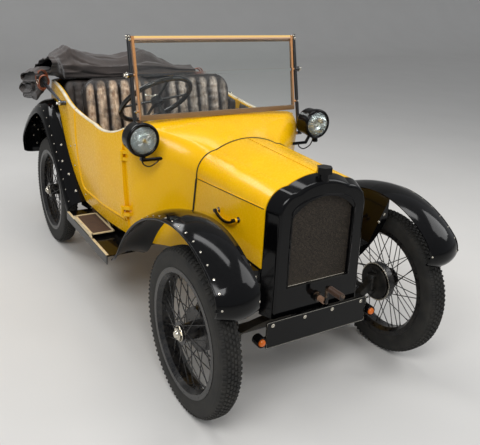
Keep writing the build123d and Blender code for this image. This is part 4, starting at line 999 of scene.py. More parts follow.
# What wears or carries painted light: from and to where it counts, and how much at either end. The
# passenger's side has had less sun and less sitting, and is greyer
across = node(tree, "ShaderNodeSeparateXYZ", "X", {"Vector": place})
crown_wear_and_highlight, patch_wear, own_wear_and_light, far_side, cracked, gloss = [
    node(tree, "ShaderNodeMapRange", 0, {"Value": value, "From Min": start, "From Max": end, "To Min": low,
                                         "To Max": high})
    for value, start, end, low, high in (
        (crown, 0.50, 0.97, 0, 1), (rubbed, 0.3, 0.62, 0.25, 1.25), (flute_noise_wear_light, 0.35, 0.62, 0.55, 1.15),
        (across, -0.02, 0.03, 0, 1), (cracks, 0.35, 0.65, 0, 1), (cracks, 0, 1, 0.30, 0.55))]
wear_and_light = node(tree, "ShaderNodeMath", 0, {0: crown_wear_and_highlight, 1: patch_wear}, operation="MULTIPLY")
wear_and_light = node(tree, "ShaderNodeMath", 0, {0: wear_and_light, 1: own_wear_and_light}, operation="MULTIPLY")
tans = [node(tree, "ShaderNodeMix", 2, {0: cracked, 6: dark, 7: light}, data_type="RGBA")
        for dark, light in (("94745A", "F0D6B6"), ("6A5F55", "D2C4B4"))]
tan = node(tree, "ShaderNodeMix", 2, {0: far_side, 6: tans[0], 7: tans[1]}, data_type="RGBA")
set_shader(tree, shader, [(cracks, 0.45, 0.003), (pores, 0.3, 0.0006)],
           Base_Color=node(tree, "ShaderNodeMix", 2, {0: wear_and_light, 6: "231D19", 7: tan}, data_type="RGBA"),
           Roughness=gloss, Specular_IOR_Level=0.5)
dress(seat_leather, "front_seats", "rear_seat")


def padded_form(name, width, length, place_of, front, rear, flutes, shoulder=0.0, crease=0.0, seed=0.0,
                across_steps=108, along_steps=64, groove=0.019, leather=None):
    """Closed stuffed form with a sewn rim: place_of gives a base point and its outward direction at a
    distance across and along; flutes run along, and shoulder rounds the far corners."""
    mesh = bmesh.new()
    tone = mesh.verts.layers.float.new("crown")
    sheets = []
    for face, depth in ((1, front), (-1, rear)):
        grid = []
        for j in range(along_steps + 1):
            v = j / along_steps
            # Rows lie closer together near both rims
            v = 0.5 - 0.5 * math.cos(math.pi * v)
            along = length * v
            half = width / 2
            if shoulder and along > length - shoulder:
                rise = (along - (length - shoulder)) / shoulder
                half -= shoulder * (1 - math.sqrt(max(0.0, 1 - rise * rise)))
            row = []
            for i in range(across_steps + 1):
                u = 2 * (0.5 - 0.5 * math.cos(math.pi * i / across_steps)) - 1
                u = 0.35 * u + 0.65 * (2 * i / across_steps - 1)
                across = half * u
                base, out = place_of(across, along)
                rim_u = max(0.0, 1 - abs(u) ** 9)
                rim_v = max(0.0, 1 - abs(2 * v - 1) ** 9)
                swell = (rim_u * rim_v) ** 0.5
                crowned = 0.82 + 0.18 * (1 - u * u) * (1 - (2 * v - 1) ** 2)
                wave = abs(math.sin(math.pi * flutes * (across / width + 0.5)))
                pulled = wave ** 0.55 if face > 0 else 1.0
                ends = min(1.0, 4.5 * v, 6.0 * (1 - v))
                thick = depth * swell * crowned - (groove * (1 - pulled) * ends * swell if face > 0 else 0)
                if crease and face > 0:
                    spot = Vector((across * 15 + seed, along * 34, seed))
                    thick += crease * swell * noise.noise(spot) * pulled
                    thick += crease * 0.7 * swell * noise.noise(spot * 2.3 + Vector((5, 1, 2)))
                    thick += crease * 0.4 * swell * noise.noise(spot * 4.6 + Vector((3, 7, 1)))
                point = base + out * face * thick
                vert = mesh.verts.new(point)
                # Crown value: the leathers paint flute tops pale as wear and painted highlight, and grooves
                # and rims dark as painted shade
                vert[tone] = pulled * swell if face > 0 else 0.15
                row.append(vert)
            grid.append(row)
        sheets.append(grid)
    for grid, flip in ((sheets[0], False), (sheets[1], True)):
        for j in range(along_steps):
            for i in range(across_steps):
                quad = (grid[j][i], grid[j][i + 1], grid[j + 1][i + 1], grid[j + 1][i])
                mesh.faces.new(quad[::-1] if flip else quad)
    bmesh.ops.remove_doubles(mesh, verts=mesh.verts, dist=0.0004)
    made = piece(name, mesh, leather or seat_leather, "car", 75)
    return made


def piped_rim(name, width, length, place_of, shoulder, lift):
    """Leather piping sewn round a squab's or cushion's edge."""
    line = []
    half = width / 2
    for k in range(9):
        line.append((-half, (length - shoulder) * k / 8))
    for k in range(1, 9):
        a = math.radians(90 * k / 8)
        line.append((-half + shoulder * (1 - math.cos(a)), length - shoulder * (1 - math.sin(a))))
    line += [(-x, y) for x, y in line[::-1]]
    points = []
    for across, along in line:
        base, out = place_of(across, along)
        points.append(base + out * lift)
    mesh = bmesh.new()
    add_tube(mesh, smooth_line(points, 3), 0.0042, 8)
    return piece(name, mesh, seat_leather, "car")


def leaning(x_mid, station, low_z, lean):
    """Places over a squab's middle plane, which leans back by lean for each unit of height."""
    up = Vector((0, lean, 1)).normalized()
    out = Vector((0, -1, lean)).normalized()

    def place_of(across, along):
        # The back is dished a little to the sitter
        dish = 0.018 * (1 - (across / 0.21) ** 2)
        return Vector((x_mid + across, back(station), low_z)) + up * along - out * dish, out
    return place_of


def lying(x_mid, station, z, rise):
    """Places over a cushion's middle plane, measured forwards from its rear edge."""
    run = Vector((0, -1, rise)).normalized()
    out = Vector((0, rise, 1)).normalized()

    def place_of(across, along):
        return Vector((x_mid + across, back(station), z)) + run * along, out
    return place_of


for side, name, folds in ((-1, "driver", 0.0042), (1, "passenger", 0.0075)):
    x_mid = side * 0.250
    squab = leaning(x_mid, 1372, 0.648, 0.215)
    padded_form(f"{name}_squab", 0.424, 0.458, squab, 0.050, 0.030, 6, 0.090, folds, side * 7.3)
    piped_rim(f"{name}_squab_piping", 0.424, 0.458, squab, 0.090, 0.002)
    cushion = lying(x_mid, 1372, 0.640, 0.055)
    padded_form(f"{name}_cushion", 0.416, 0.352, cushion, 0.050, 0.034, 6, 0.050, folds * 0.7, side * 3.1)
    piped_rim(f"{name}_cushion_piping", 0.416, 0.352, cushion, 0.050, 0.006)
    # Box under the cushion, and the squab's wooden back leaning behind it down to the floor
    box = bmesh.new()
    add_bar(box, (x_mid - 0.196, back(1052), 0.4525), (x_mid + 0.196, back(1385), 0.618), 0.006)
    piece(f"{name}_seat_box", box, seat_leather, "car")
    shell = bmesh.new()
    rear_board = [(1402, 0.4530), (1440, 0.64), (1470, 0.80), (1494, 0.95), (1512, 1.050)]
    sections = []
    for station, z in rear_board:
        half = 0.198 if z < 0.96 else 0.198 - (z - 0.96) * 0.5
        low_edge = [Vector((x_mid + x, back(station + d), z)) for x, d in
                    ((-half, -6), (-half, 6), (half, 6), (half, -6))]
        sections.append([shell.verts.new(p) for p in low_edge])
    join_rings(shell, sections)
    shell.faces.new(sections[0][::-1])
    shell.faces.new(sections[-1])
    piece(f"{name}_seat_back", shell, seat_leather, "car")
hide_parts("front_seats")

# Rear bench and inside trim: dark leather in flutes over the bench, along the body sides, round the rear and
# on the doors. The trim is tacked under the edge roll.
# Almost black, with the crowns of the flutes lighter brown as painted highlight, and duller than the seats
trim_leather, tree, shader, place, dull, folds, pores = finish(
    "dark fluted trim leather", (20, 5, 0.6), (60, 5, 0.7), (500, 2, 0.5))
crown = node(tree, "ShaderNodeAttribute", "Fac", attribute_name="crown")
lit = node(tree, "ShaderNodeMath", 0, {0: crown, 1: dull}, operation="MULTIPLY")
set_shader(tree, shader, [(folds, 0.35, 0.002), (pores, 0.2, 0.0005)],
           Base_Color=node(tree, "ShaderNodeMix", 2, {0: lit, 6: "171412", 7: "5C5048"}, data_type="RGBA"),
           Roughness=node(tree, "ShaderNodeMapRange", 0, {"Value": dull, "To Min": 0.4, "To Max": 0.65}))

bench_squab = leaning(0.0, 2050, 0.700, 0.150)
padded_form("rear_squab", 0.800, 0.300, bench_squab, 0.048, 0.030, 12, 0.060, 0.0035, 2.0, 150, 36,
            leather=trim_leather)
bench = lying(0.0, 2020, 0.672, 0.045)
padded_form("rear_cushion", 0.790, 0.350, bench, 0.058, 0.036, 12, 0.040, 0.003, 9.0, 150, 36,
            leather=trim_leather)
piped_rim("rear_cushion_piping", 0.790, 0.350, bench, 0.040, 0.006)
rear_box = bmesh.new()
add_bar(rear_box, (-0.385, back(1672), 0.5025), (0.385, back(2030), 0.640), 0.006)
piece("rear_seat_box", rear_box, seat_leather, "car")
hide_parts("rear_seat")


def stuffed_panel(name, grid, layer, body):
    """Closed panel from columns of points, each with its tone, and a flat back one layer behind them."""
    mesh = bmesh.new()
    tone = mesh.verts.layers.float.new("crown")
    rings = []
    for column in grid:
        front = [mesh.verts.new(point) for point, _ in column]
        for vert, (_, value) in zip(front, column):
            vert[tone] = value
        rings.append(front + [mesh.verts.new(point + layer) for point, _ in column[::-1]])
    join_rings(mesh, rings)
    last_row = len(grid[0]) - 1
    for ring in (rings[0], rings[-1]):
        for j in range(last_row):
            mesh.faces.new((ring[j], ring[j + 1], ring[-2 - j], ring[-1 - j]))
    piece(name, mesh, trim_leather, body, 75)


def lining(name, target, side, first, last, low_z, pitch, body, columns):
    """Fluted trim panel laid on the inner face of the body side or door between two stations."""
    rows = 18
    grid = []
    for i in range(columns + 1):
        station = first + (last - first) * i / columns
        wall = hit(target, (0.0, back(station), 0.80), (side, 0, 0))
        if not wall:
            continue
        top = hit(target, (wall[0].x + side * 0.006, wall[0].y, 1.3), (0, 0, -1))
        if not top or top[0].z < 0.7:
            continue
        high = top[0].z - 0.007
        wave = abs(math.sin(math.pi * (station - first) / pitch)) ** 0.6
        column = []
        for j in range(rows + 1):
            t = j / rows
            z = low_z + (high - low_z) * t
            found = hit(target, (0.0, back(station), z), (side, 0, 0))
            if not found:
                break
            rim = max(0.0, 1 - abs(2 * t - 1) ** 12)
            puff = (0.0025 + 0.0115 * wave) * rim + 0.0008
            # Crown value of each point, painted lighter on the flute crests as highlight by the trim leather
            column.append((found[0] - Vector((side * puff, 0, 0)), wave * rim))
        if len(column) == rows + 1:
            grid.append(column)
    stuffed_panel(name, grid, Vector((side * 0.006, 0, 0)), body)


for side, name in ((1, "left"), (-1, "right")):
    lining(f"side_trim_{name}", "body_tub", side, 1403, 2180, 0.560, 62, "car", 98)
    lining(f"door_trim_{name}", f"door_{name}", side, 791, 1388, 0.540, 62, f"door_{name}_body", 74)

# Squab above the bench: the trim goes on round the rear of the body behind the sitters
columns, rows = 110, 16
trim_half, flute_pitch = 0.425, 0.062
grid = []
for i in range(columns + 1):
    x = -trim_half + 2 * trim_half * i / columns
    wave = abs(math.sin(math.pi * (x + trim_half) / flute_pitch)) ** 0.6
    column = []
    for j in range(rows + 1):
        t = j / rows
        z = 0.700 + 0.286 * t
        found = hit("body_tub", (x, back(1900), z), (0, 1, 0))
        reach = found[0].y if found else back(2150)
        rim = max(0.0, 1 - abs(2 * t - 1) ** 12)
        y = min(reach, back(2262)) - 0.001 - (0.004 + 0.013 * wave) * rim
        # Crown value of each point, painted lighter on the flute crests as highlight by the trim leather
        column.append((Vector((x, y, z)), wave * rim))
    grid.append(column)
stuffed_panel("rear_trim", grid, Vector((0, 0.006, 0)), "car")

# Floor: mats of brown ribbed rubber, moulded in one piece each. They lie loose on the boards, one in front of
# the front seats and one behind them.
# Dull brown with paler dusty patches, over small pits of the mould
floor_rubber, tree, shader, place, tread_dirt, pits = finish(
    "brown ribbed floor rubber", (11, 5, 0.5), (900, 3, 0.5))
# Ribs about 10 mm apart that run across the car
ribs = node(tree, "ShaderNodeTexWave", "Fac", {"Vector": place, "Scale": 32, "Distortion": 0.6, "Detail": 2,
                                               "Detail Scale": 6}, bands_direction="Y")
paint = node(tree, "ShaderNodeMix", 2, {0: tread_dirt, 6: "2A211B", 7: "4A3B2E"}, data_type="RGBA")
set_shader(tree, shader, [(ribs, 0.6, 0.002), (pits, 0.5, 0.0015)], Base_Color=paint, Roughness=0.8)
mats = bmesh.new()
for x0, x1, s0, s1, z in ((-0.440, 0.440, 800, 1046, 0.4520), (-0.410, 0.410, 1566, 1664, 0.5020)):
    floor = hit("body_tub", ((x0 + x1) / 2 + 0.12, back((s0 + s1) / 2), 0.60), (0, 0, -1))
    if floor:
        add_bar(mats, (x0, back(s0), floor[0].z - 0.001), (x1, back(s1), floor[0].z + 0.006), 0.002)
piece("floor_mats", mats, floor_rubber, "car")

# Folded hood: rubberised double-twill cloth, grey-brown, gathered into one long roll behind the seats. Its
# ends stay open as flat mouths, with more folds stacked below them outside the body, held by wound straps.
hood_cloth, tree, shader, place, fade, rumples = finish("grey-brown hood twill", (6, 5, 0.6), (22, 4, 0.6))
# Twill threads of about 1.5 mm, and dust on the upper faces, which are also painted lighter as light from
# above while the faces turned down are painted near black as shade
twill = node(tree, "ShaderNodeMapping", 0, {"Vector": place, "Rotation": (0.6, 0.4, 0.7)})
threads = node(tree, "ShaderNodeTexWave", "Fac", {"Vector": twill, "Scale": 210, "Distortion": 1.2,
                                                  "Detail": 2, "Detail Scale": 3})
normal = node(tree, "ShaderNodeNewGeometry", "Normal")
facing = node(tree, "ShaderNodeSeparateXYZ", "Z", {"Vector": normal})
# Painted light and shade: paler where the cloth faces up, near black where it faces down
upper = node(tree, "ShaderNodeMapRange", 0, {"Value": facing, "From Min": -0.3, "From Max": 0.9,
                                             "To Min": 0.1, "To Max": 0.9})
top_light_and_dust = node(tree, "ShaderNodeMath", 0, {0: upper, 1: fade}, operation="MULTIPLY")
set_shader(tree, shader, [(rumples, 0.35, 0.006), (threads, 0.25, 0.0006)],
           Base_Color=node(tree, "ShaderNodeMix", 2, {0: top_light_and_dust, 6: "181514", 7: "564A44"}, data_type="RGBA"),
           Roughness=node(tree, "ShaderNodeMapRange", 0, {"Value": fade, "To Min": 0.62, "To Max": 0.85}),
           Sheen_Weight=0.25, Sheen_Roughness=0.5, Specular_IOR_Level=0.3)


def closed_loop(controls, count):
    """Evenly numbered points of a closed smooth curve through the control points, each a pair."""
    points = [Vector((a, b, 0)) for a, b in controls]
    total = len(points)
    loop = []
    for k in range(count):
        at = total * k / count
        i, t = int(at), at - int(at)
        a, b, c, d = [points[(i + n) % total] for n in (-1, 0, 1, 2)]
        loop.append(0.5 * (2 * b + (c - a) * t + (2 * a - 5 * b + 4 * c - d) * t * t
                           + (3 * b - a - 3 * c + d) * t ** 3))
    return loop


def slot_controls(rear, front, height, count=12):
    """Control points of a flat mouth between its rear and front ends, from the front end over the top."""
    rear, front = Vector(rear), Vector(front)
    middle, run = (rear + front) / 2, (front - rear)
    along = run.normalized()
    over = Vector((along.y, -along.x)) if along.x < 0 else Vector((-along.y, along.x))
    angles = (-30, 0, 25, 50, 75, 95, 120, 150, 180, 205, 240, 290)
    controls = []
    for k in range(count):
        a = math.radians(angles[k])
        c, s = math.cos(a), math.sin(a)
        c = math.copysign(abs(c) ** 0.8, c)
        s = math.copysign(abs(s) ** 0.75, s)
        controls.append(middle + along * (run.length / 2 * c) + over * (height / 2 * s))
    return controls


def cloth_tube(mesh, sections, count, steps, pleats, seed):
    """Open tube of cloth, added to a bmesh, through sections of x and control points, each a station and a
    height."""
    rings = []
    for j in range(steps + 1):
        at = (len(sections) - 1) * j / steps
        i = min(int(at), len(sections) - 2)
        t = at - i
        t = t * t * (3 - 2 * t)
        (x0, first), (x1, second) = sections[i], sections[i + 1]
        x = x0 + (x1 - x0) * (at - i)
        controls = [(a[0] + (b[0] - a[0]) * t, a[1] + (b[1] - a[1]) * t) for a, b in zip(first, second)]
        loop = closed_loop(controls, count)
        middle = sum(loop, Vector()) / count
        ring = []
        for k, point in enumerate(loop):
            run = (loop[(k + 1) % count] - loop[k - 1]).normalized()
            out = Vector((run.y, -run.x, 0))
            if out.dot(point - middle) < 0:
                out = -out
            q = k / count
            wave = abs(math.sin(math.pi * (pleats * q + 0.45 * math.sin(3.1 * x + seed)
                                           + 0.25 * math.sin(9.7 * x + 2 * seed)))) ** 0.55
            lift = 11.0 * (wave - 0.65) if pleats else 0.0
            # Long creases that fade in and out, sharp on one side
            crease = 1 - abs(noise.noise(Vector((x * 2.6, q * 9.0 + 0.8 * x, seed + 9)))) * 2.2
            lift += 10.0 * max(0.0, crease) ** 5
            lift += 9.0 * noise.noise(Vector((x * 3.6, q * 6.0, seed)))
            lift += 4.0 * noise.noise(Vector((x * 9, q * 17, seed + 4)))
            spot = point + out * lift
            ring.append(mesh.verts.new((x, back(spot.x), spot.y / 1000)))
        rings.append(ring)
    join_rings(mesh, rings)


def cloth_piece(name, mesh, thickness=0.003):
    area = sum(face.calc_area() for face in mesh.faces)
    made = shape(name, mesh, hood_cloth, sharp=180)
    thicken = made.modifiers.new("cloth thickness", "SOLIDIFY")
    thicken.thickness = thickness
    thicken.offset = -1
    smooth = made.modifiers.new("smooth", "SUBSURF")
    smooth.levels = smooth.render_levels = 1
    whole = bpy.data.meshes.new_from_object(made.evaluated_get(bpy.context.evaluated_depsgraph_get()))
    made.modifiers.clear()
    made.data = whole
    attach(made, "car")
    return made


# Height of the roll's top across the car, from the right end to the left
crest = [(-0.520, 1098), (-0.490, 1108), (-0.430, 1134), (-0.382, 1154), (-0.345, 1176), (-0.316, 1203),
         (-0.290, 1190), (-0.250, 1172), (-0.190, 1156), (-0.090, 1138), (0.022, 1125), (0.110, 1142),
         (0.199, 1172), (0.250, 1158), (0.330, 1126), (0.400, 1100), (0.460, 1082), (0.520, 1070)]


def roll_controls(top):
    """Control points of the roll's section, in station and height, for a given height of its top."""
    rise = top - 1000
    return [(2060, 1012), (2046, 1040), (2066, 1078), (2105, 1000 + 0.60 * rise), (2178, 1000 + 0.90 * rise),
            (2262, top), (2358, 1000 + 0.92 * rise), (2440, 1000 + 0.62 * rise), (2492, 1044), (2494, 1010),
            (2400, 996), (2200, 1000)]


sections = []
for x, top in crest:
    bulky = roll_controls(top)
    if x < 0:
        mouth, first_turn = slot_controls((2300, 1032), (1838, 1140), 92), 0.375
    else:
        mouth, first_turn = slot_controls((2260, 1030), (1990, 1050), 46), 0.300
    turn = min(1.0, max(0.0, (abs(x) - first_turn) / 0.125))
    turn = turn * turn * (3 - 2 * turn)
    sections.append((x, [(a[0] + (b[0] - a[0]) * turn, a[1] + (b[1] - a[1]) * turn)
                         for a, b in zip(bulky, mouth)]))
roll_mesh = bmesh.new()
cloth_tube(roll_mesh, sections, 88, 108, 7, 1.3)
hood_roll = cloth_piece("hood_roll", roll_mesh)
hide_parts("hood")

# Folds outside the body: rear end, front end, height of the mouth, for the inner and the outer end
end_folds = [
    ((0.455, (2440, 1030), (2080, 1066), 30), (0.520, (2420, 1012), (2000, 1062), 64),
     (0.590, (2378, 990), (1935, 1054), 58)),
    ((0.500, (2460, 990), (2120, 1006), 14), (0.545, (2470, 945), (2080, 990), 66),
     (0.588, (2452, 905), (2085, 962), 62)),
    ((0.500, (2440, 960), (2020, 985), 22), (0.540, (2440, 905), (1995, 960), 70),
     (0.574, (2400, 878), (2010, 920), 60), (0.586, (2360, 872), (2060, 905), 6)),
    ((0.490, (2420, 1008), (2040, 1020), 16), (0.530, (2470, 962), (1990, 1010), 110),
     (0.560, (2440, 950), (2000, 1000), 90), (0.572, (2400, 955), (2060, 990), 8)),
]
for side, name in ((1, "left"), (-1, "right")):
    folds = bmesh.new()
    # The left end is strapped tighter, so its upper fold is drawn in
    for k, levels in enumerate(end_folds[1 if side > 0 else 0:]):
        rings = [(side * x, [tuple(p) for p in slot_controls(rear, front, height)])
                 for x, rear, front, height in levels]
        cloth_tube(folds, rings, 48, 12 + 3 * len(rings), 3, 2.7 * k + side)
    cloth_piece(f"hood_folds_{name}", folds)

# Straps: tan harness leather, 14 mm wide and cut from the hide. Each is wound three times round the irons and
# the folds, and held by a nickel buckle.
# Oiled hide, scuffed pale on its bends
strap_leather = clouded(
    "tan strap leather", (80, 5, 0.65), ("5A2A17", "A85A36"), (0.38, 0.6), (0.3, 0.0008))


def add_band(mesh, points, outs, width, thickness):
    """Closed flat band along the points, its faces turned to the outs, added to a bmesh."""
    rings = []
    count = len(points)
    for k in range(count):
        run = (points[(k + 1) % count] - points[k - 1]).normalized()
        out = outs[k].normalized()
        aside = run.cross(out).normalized()
        corners = [(-0.5, -0.5), (0.5, -0.5), (0.5, 0.3), (0.42, 0.5), (-0.42, 0.5), (-0.5, 0.3)]
        rings.append([mesh.verts.new(points[k] + aside * a * width + out * b * thickness)
                      for a, b in corners])
    join_rings(mesh, rings + rings[:1])


# Each turn of strap: station and height of its middle, half sizes across and along, tilt in degrees
strap_turns = [(1958, 1032, 0.035, 0.056, 8), (1930, 1020, 0.031, 0.044, -16), (1980, 1022, 0.036, 0.062, 24)]
for side, name in ((1, "left"), (-1, "right")):
    straps = bmesh.new()
    for station, z, half_x, half_z, tilt in strap_turns:
        if side > 0:
            station, z, half_z = station + 45, z - 4, half_z * 0.62
        centre = Vector((side * 0.5475, back(station), z / 1000))
        tall = Vector((0, math.sin(math.radians(tilt)), math.cos(math.radians(tilt))))
        points, outs = [], []
        for k in range(40):
            a = 2 * math.pi * k / 40
            wobble = 1 + 0.05 * math.sin(3 * a + station)
            points.append(centre + Vector((half_x * math.cos(a) * wobble, 0, 0))
                          + tall * half_z * math.sin(a))
            outs.append(Vector((math.cos(a) / half_x, 0, 0)) + tall * (math.sin(a) / half_z))
        add_band(straps, points, outs, 0.014, 0.0035)
    piece(f"straps_{name}", straps, strap_leather, "car", 50)
    buckle = bmesh.new()
    corners = [(-0.014, -0.012), (0.014, -0.012), (0.014, 0.012), (-0.014, 0.012)]
    ring = [Vector((side * (0.5475 + 0.0375), back(1936) + a, 1.022 + b)) for a, b in corners]
    add_tube(buckle, smooth_line(ring, 4, closed=True), 0.0018, 8, closed=True)
    piece(f"buckle_{name}", buckle, nickel, "car")

# Hood irons: two flat bars of blued steel side by side on each side of the body. They turn on a nickel-plated
# stud and carry the hoops of the hood.
# Rubbed bright along the faces where the bars pass each other
blued_steel = clouded(
    "blued flat steel", (40, 4, 0.5), ("24262B", "6F747C"), (0.2, 0.4), (0.08, 0.0006),
    Metallic=0.85)
dress(blued_steel, "hood_irons")
for side, name in ((1, "left"), (-1, "right")):
    knob = bmesh.new()
    add_turned(knob, [(0, 0), (0, 0.0125), (0.004, 0.0130), (0.008, 0.0105), (0.012, 0.0060), (0.016, 0.0085),
                      (0.021, 0.0070), (0.023, 0)], (side * 0.552, back(1570), 0.952), (side, 0, 0), 24)
    piece(f"iron_stud_{name}", knob, nickel, "car", 30)

# Steering wheel: a rim and three flat spokes covered in black celluloid, moulded over steel. The boss is
# turned brass under nickel, and carries two small control levers.
# Deep black, dulled in patches by the driver's hands
celluloid = clouded(
    "black celluloid", (30, 4, 0.5), ("0C0C0B", "22201C"), (0.12, 0.3), (0.06, 0.0006),
    relief_cloud=(200, 2, 0.5))
dress(celluloid, "steering_wheel")
column_foot = Vector((-0.150, back(380), 0.480))
wheel_centre = Vector((-0.260, back(900), 1.070))
column_run = (wheel_centre - column_foot).normalized()
boss = bmesh.new()
add_turned(boss, [(0.006, 0), (0.006, 0.030), (0.010, 0.031), (0.013, 0.027), (0.016, 0.018), (0.022, 0.0165),
                  (0.025, 0.012), (0.026, 0)], wheel_centre, column_run, 32)
aside = column_run.orthogonal().normalized()
beside = column_run.cross(aside)
for turn, reach in ((40, 0.062), (150, 0.055)):
    a = math.radians(turn)
    arm = aside * math.cos(a) + beside * math.sin(a)
    start = wheel_centre + column_run * 0.020
    end = start + arm * reach + column_run * 0.006
    add_tube(boss, [start, end], 0.0026, 8)
    add_turned(boss, [(-0.005, 0), (-0.004, 0.0045), (0.002, 0.0055), (0.006, 0.0035), (0.007, 0)], end,
               column_run, 14)
piece("steering_boss", boss, nickel, "steering_wheel_body", 30)

# Gear lever knob: a ball of black celluloid, turned and polished, screwed on the lever over a small collar.
# It stands on the middle line, ahead of the front seats.
ball = bmesh.new()
bmesh.ops.create_uvsphere(ball, u_segments=28, v_segments=18, radius=0.0195,
                          matrix=Matrix.Translation((0.0, back(820), 0.765)))
add_turned(ball, [(-0.026, 0), (-0.026, 0.0095), (-0.018, 0.0110), (-0.012, 0.0090), (-0.012, 0)],
           (0.0, back(820), 0.765), (0, 0.25, 1), 18)
piece("gear_knob", ball, celluloid, "car")

# Dials: three round instruments let into the board, with rims of nickel-plated brass. Their enamelled faces
# are cream and carry ticks and one hand.
# Baked enamel under a clear glass, yellowed in patches
dial_face = clouded(
    "cream dial enamel", (50, 4, 0.5), ("CFC6A8", "E4DDC4"), 0.4, (0.04, 0.0003),
    relief_cloud=(300, 2, 0.5), Coat_Weight=0.8, Coat_Roughness=0.03)
# Printed black, slightly broken
dial_ink = clouded(
    "black dial ink", (200, 2, 0.5), ("12100E", "25211D"), 0.5, (0.05, 0.0002),
    relief_cloud=(600, 2, 0.5))
# Each dial's place across the board, its height and its radius
dials = [(-0.020, 0.940, 0.038), (0.085, 0.940, 0.027), (-0.110, 0.945, 0.024)]
for number, (x, z, radius) in enumerate(dials):
    board = hit("scuttle", (x, back(800), z), (0, -1, 0))
    if not board:
        continue
    centre = board[0]
    rim = bmesh.new()
    add_turned(rim, [(-0.001, radius - 0.003), (-0.001, radius), (0.008, radius), (0.0100, radius - 0.0020),
                     (0.0085, radius - 0.0045), (0.0050, radius - 0.0050)], centre, (0, 1, 0), 40)
    piece(f"dial_rim_{number}", rim, nickel, "car")
    face = bmesh.new()
    add_turned(face, [(-0.001, 0), (-0.001, radius - 0.002), (0.0052, radius - 0.0045), (0.0052, 0.0)],
               centre, (0, 1, 0), 40)
    piece(f"dial_face_{number}", face, dial_face, "car")
    marks = bmesh.new()
    for k in range(25):
        a = math.radians(-40 + 260 * k / 24)
        arm = Vector((math.cos(a), 0, math.sin(a)))
        inner = radius * (0.62 if k % 4 == 0 else 0.70)
        add_tube(marks, [centre + arm * inner + Vector((0, 0.0054, 0)),
                         centre + arm * radius * 0.80 + Vector((0, 0.0054, 0))], 0.0004, 4)
    hand = Vector((math.cos(2.4), 0, math.sin(2.4)))
    add_tube(marks, [centre - hand * 0.005 + Vector((0, 0.0064, 0)),
                     centre + hand * radius * 0.66 + Vector((0, 0.0064, 0))], 0.0006, 5)
    add_turned(marks, [(0.0048, 0), (0.0048, 0.0028), (0.0072, 0.0024), (0.0076, 0)], centre, (0, 1, 0), 14)
    piece(f"dial_marks_{number}", marks, dial_ink, "car")

# Running boards: pressed steel in black enamel with a cream outer strip. On each stands a step tray, a cream
# angle frame round a ribbed rubber mat, with an arched kick plate on the body behind it.
# Chips down to brown primer, about 10 mm apart
cream_paint = clouded(
    "chipped cream paint", (95, 5, 0.7), ("DCC9A0", "8A6A48"), (0.3, 0.55), (0.12, 0.0006),
    spread=(0.56, 0.66))
# Scuffed paler by shoes
mat_rubber = clouded(
    "brown ribbed rubber", (40, 5, 0.65), ("35241A", "6B4F3B"), (0.55, 0.8), (0.3, 0.0006),
    relief_cloud=(700, 3, 0.5))
for side, name in ((1, "left"), (-1, "right")):
    frame_bars = bmesh.new()
    inner, outer = 0.4665, 0.5895
    top = 0.3902
    for x0, x1, s0, s1 in ((inner, inner + 0.010, 950, 1240), (outer - 0.010, outer, 950, 1240),
                           (inner, outer, 950, 960), (inner, outer, 1230, 1240)):
        add_bar(frame_bars, (side * x0, back(s0), top - 0.0005), (side * x1, back(s1), top + 0.0055), 0.0014)
    add_bar(frame_bars, (side * (outer - 0.0005), back(950), 0.3745),
            (side * (outer + 0.0025), back(1240), 0.3955), 0.0010)
    # Ring at the outer front corner
    ring = [Vector((side * 0.5905, back(962) + 0.020 * math.cos(a), 0.3790 + 0.0085 * math.sin(a)))
            for a in [2 * math.pi * k / 20 for k in range(20)]]
    add_tube(frame_bars, ring, 0.0022, 8, closed=True)
    for station in (968, 1224):
        for x in (inner + 0.006, outer - 0.006):
            add_turned(frame_bars, [(0, 0), (0, 0.0042), (0.0016, 0.0036), (0.0020, 0)],
                       (side * x, back(station), top + 0.0054), (0, 0, 1), 12)
    piece(f"tray_frame_{name}", frame_bars, cream_paint, "car", 30)
    rib = bmesh.new()
    add_bar(rib, (-0.0020, -0.1325, 0), (0.0020, 0.1325, 0.0030), 0.0009)
    rib_unit = shape("mat_rib", rib, mat_rubber)
    spots = [((side * (inner + 0.0145 + 0.0078 * k), back(1095), top + 0.0012), (0, 0, 1), (1, 0, 0))
             for k in range(13)]
    strew(f"tray_ribs_{name}", rib_unit, spots, mat_rubber, "car")
    mat = bmesh.new()
    add_bar(mat, (side * (inner + 0.009), back(959), top - 0.0005),
            (side * (outer - 0.009), back(1231), top + 0.0015), 0.0005)
    piece(f"tray_mat_{name}", mat, mat_rubber, "car")
    strip = bmesh.new()
    add_bar(strip, (side * 0.5800, back(724), 0.3705), (side * 0.5935, back(944), 0.3738), 0.0010)
    add_bar(strip, (side * 0.5800, back(1246), 0.3705), (side * 0.5935, back(1374), 0.3738), 0.0010)
    piece(f"board_strip_{name}", strip, cream_paint, "car")
    # Kick plate: cream edge bead over flutes of the same brown rubber
    arc = [Vector((side * 0.4605, back(s), z / 1000)) for s, z in
           ((1032, 384), (1060, 399), (1100, 413), (1145, 421), (1190, 424), (1235, 421), (1280, 413),
            (1320, 399), (1348, 384))]
    edge = bmesh.new()
    add_tube(edge, smooth_line(arc, 4), 0.0036, 8)
    piece(f"kick_edge_{name}", edge, cream_paint, "car")
    flutes = bmesh.new()
    for k in range(30):
        station = 1040 + 10.4 * k
        peak = 0.384 + 0.040 * max(0.0, 1 - ((station - 1190) / 160) ** 2) - 0.004
        if peak > 0.3925:
            add_tube(flutes, [(side * 0.4600, back(station), 0.3735), (side * 0.4600, back(station), peak)],
                     0.0042, 6)
    piece(f"kick_flutes_{name}", flutes, mat_rubber, "car")

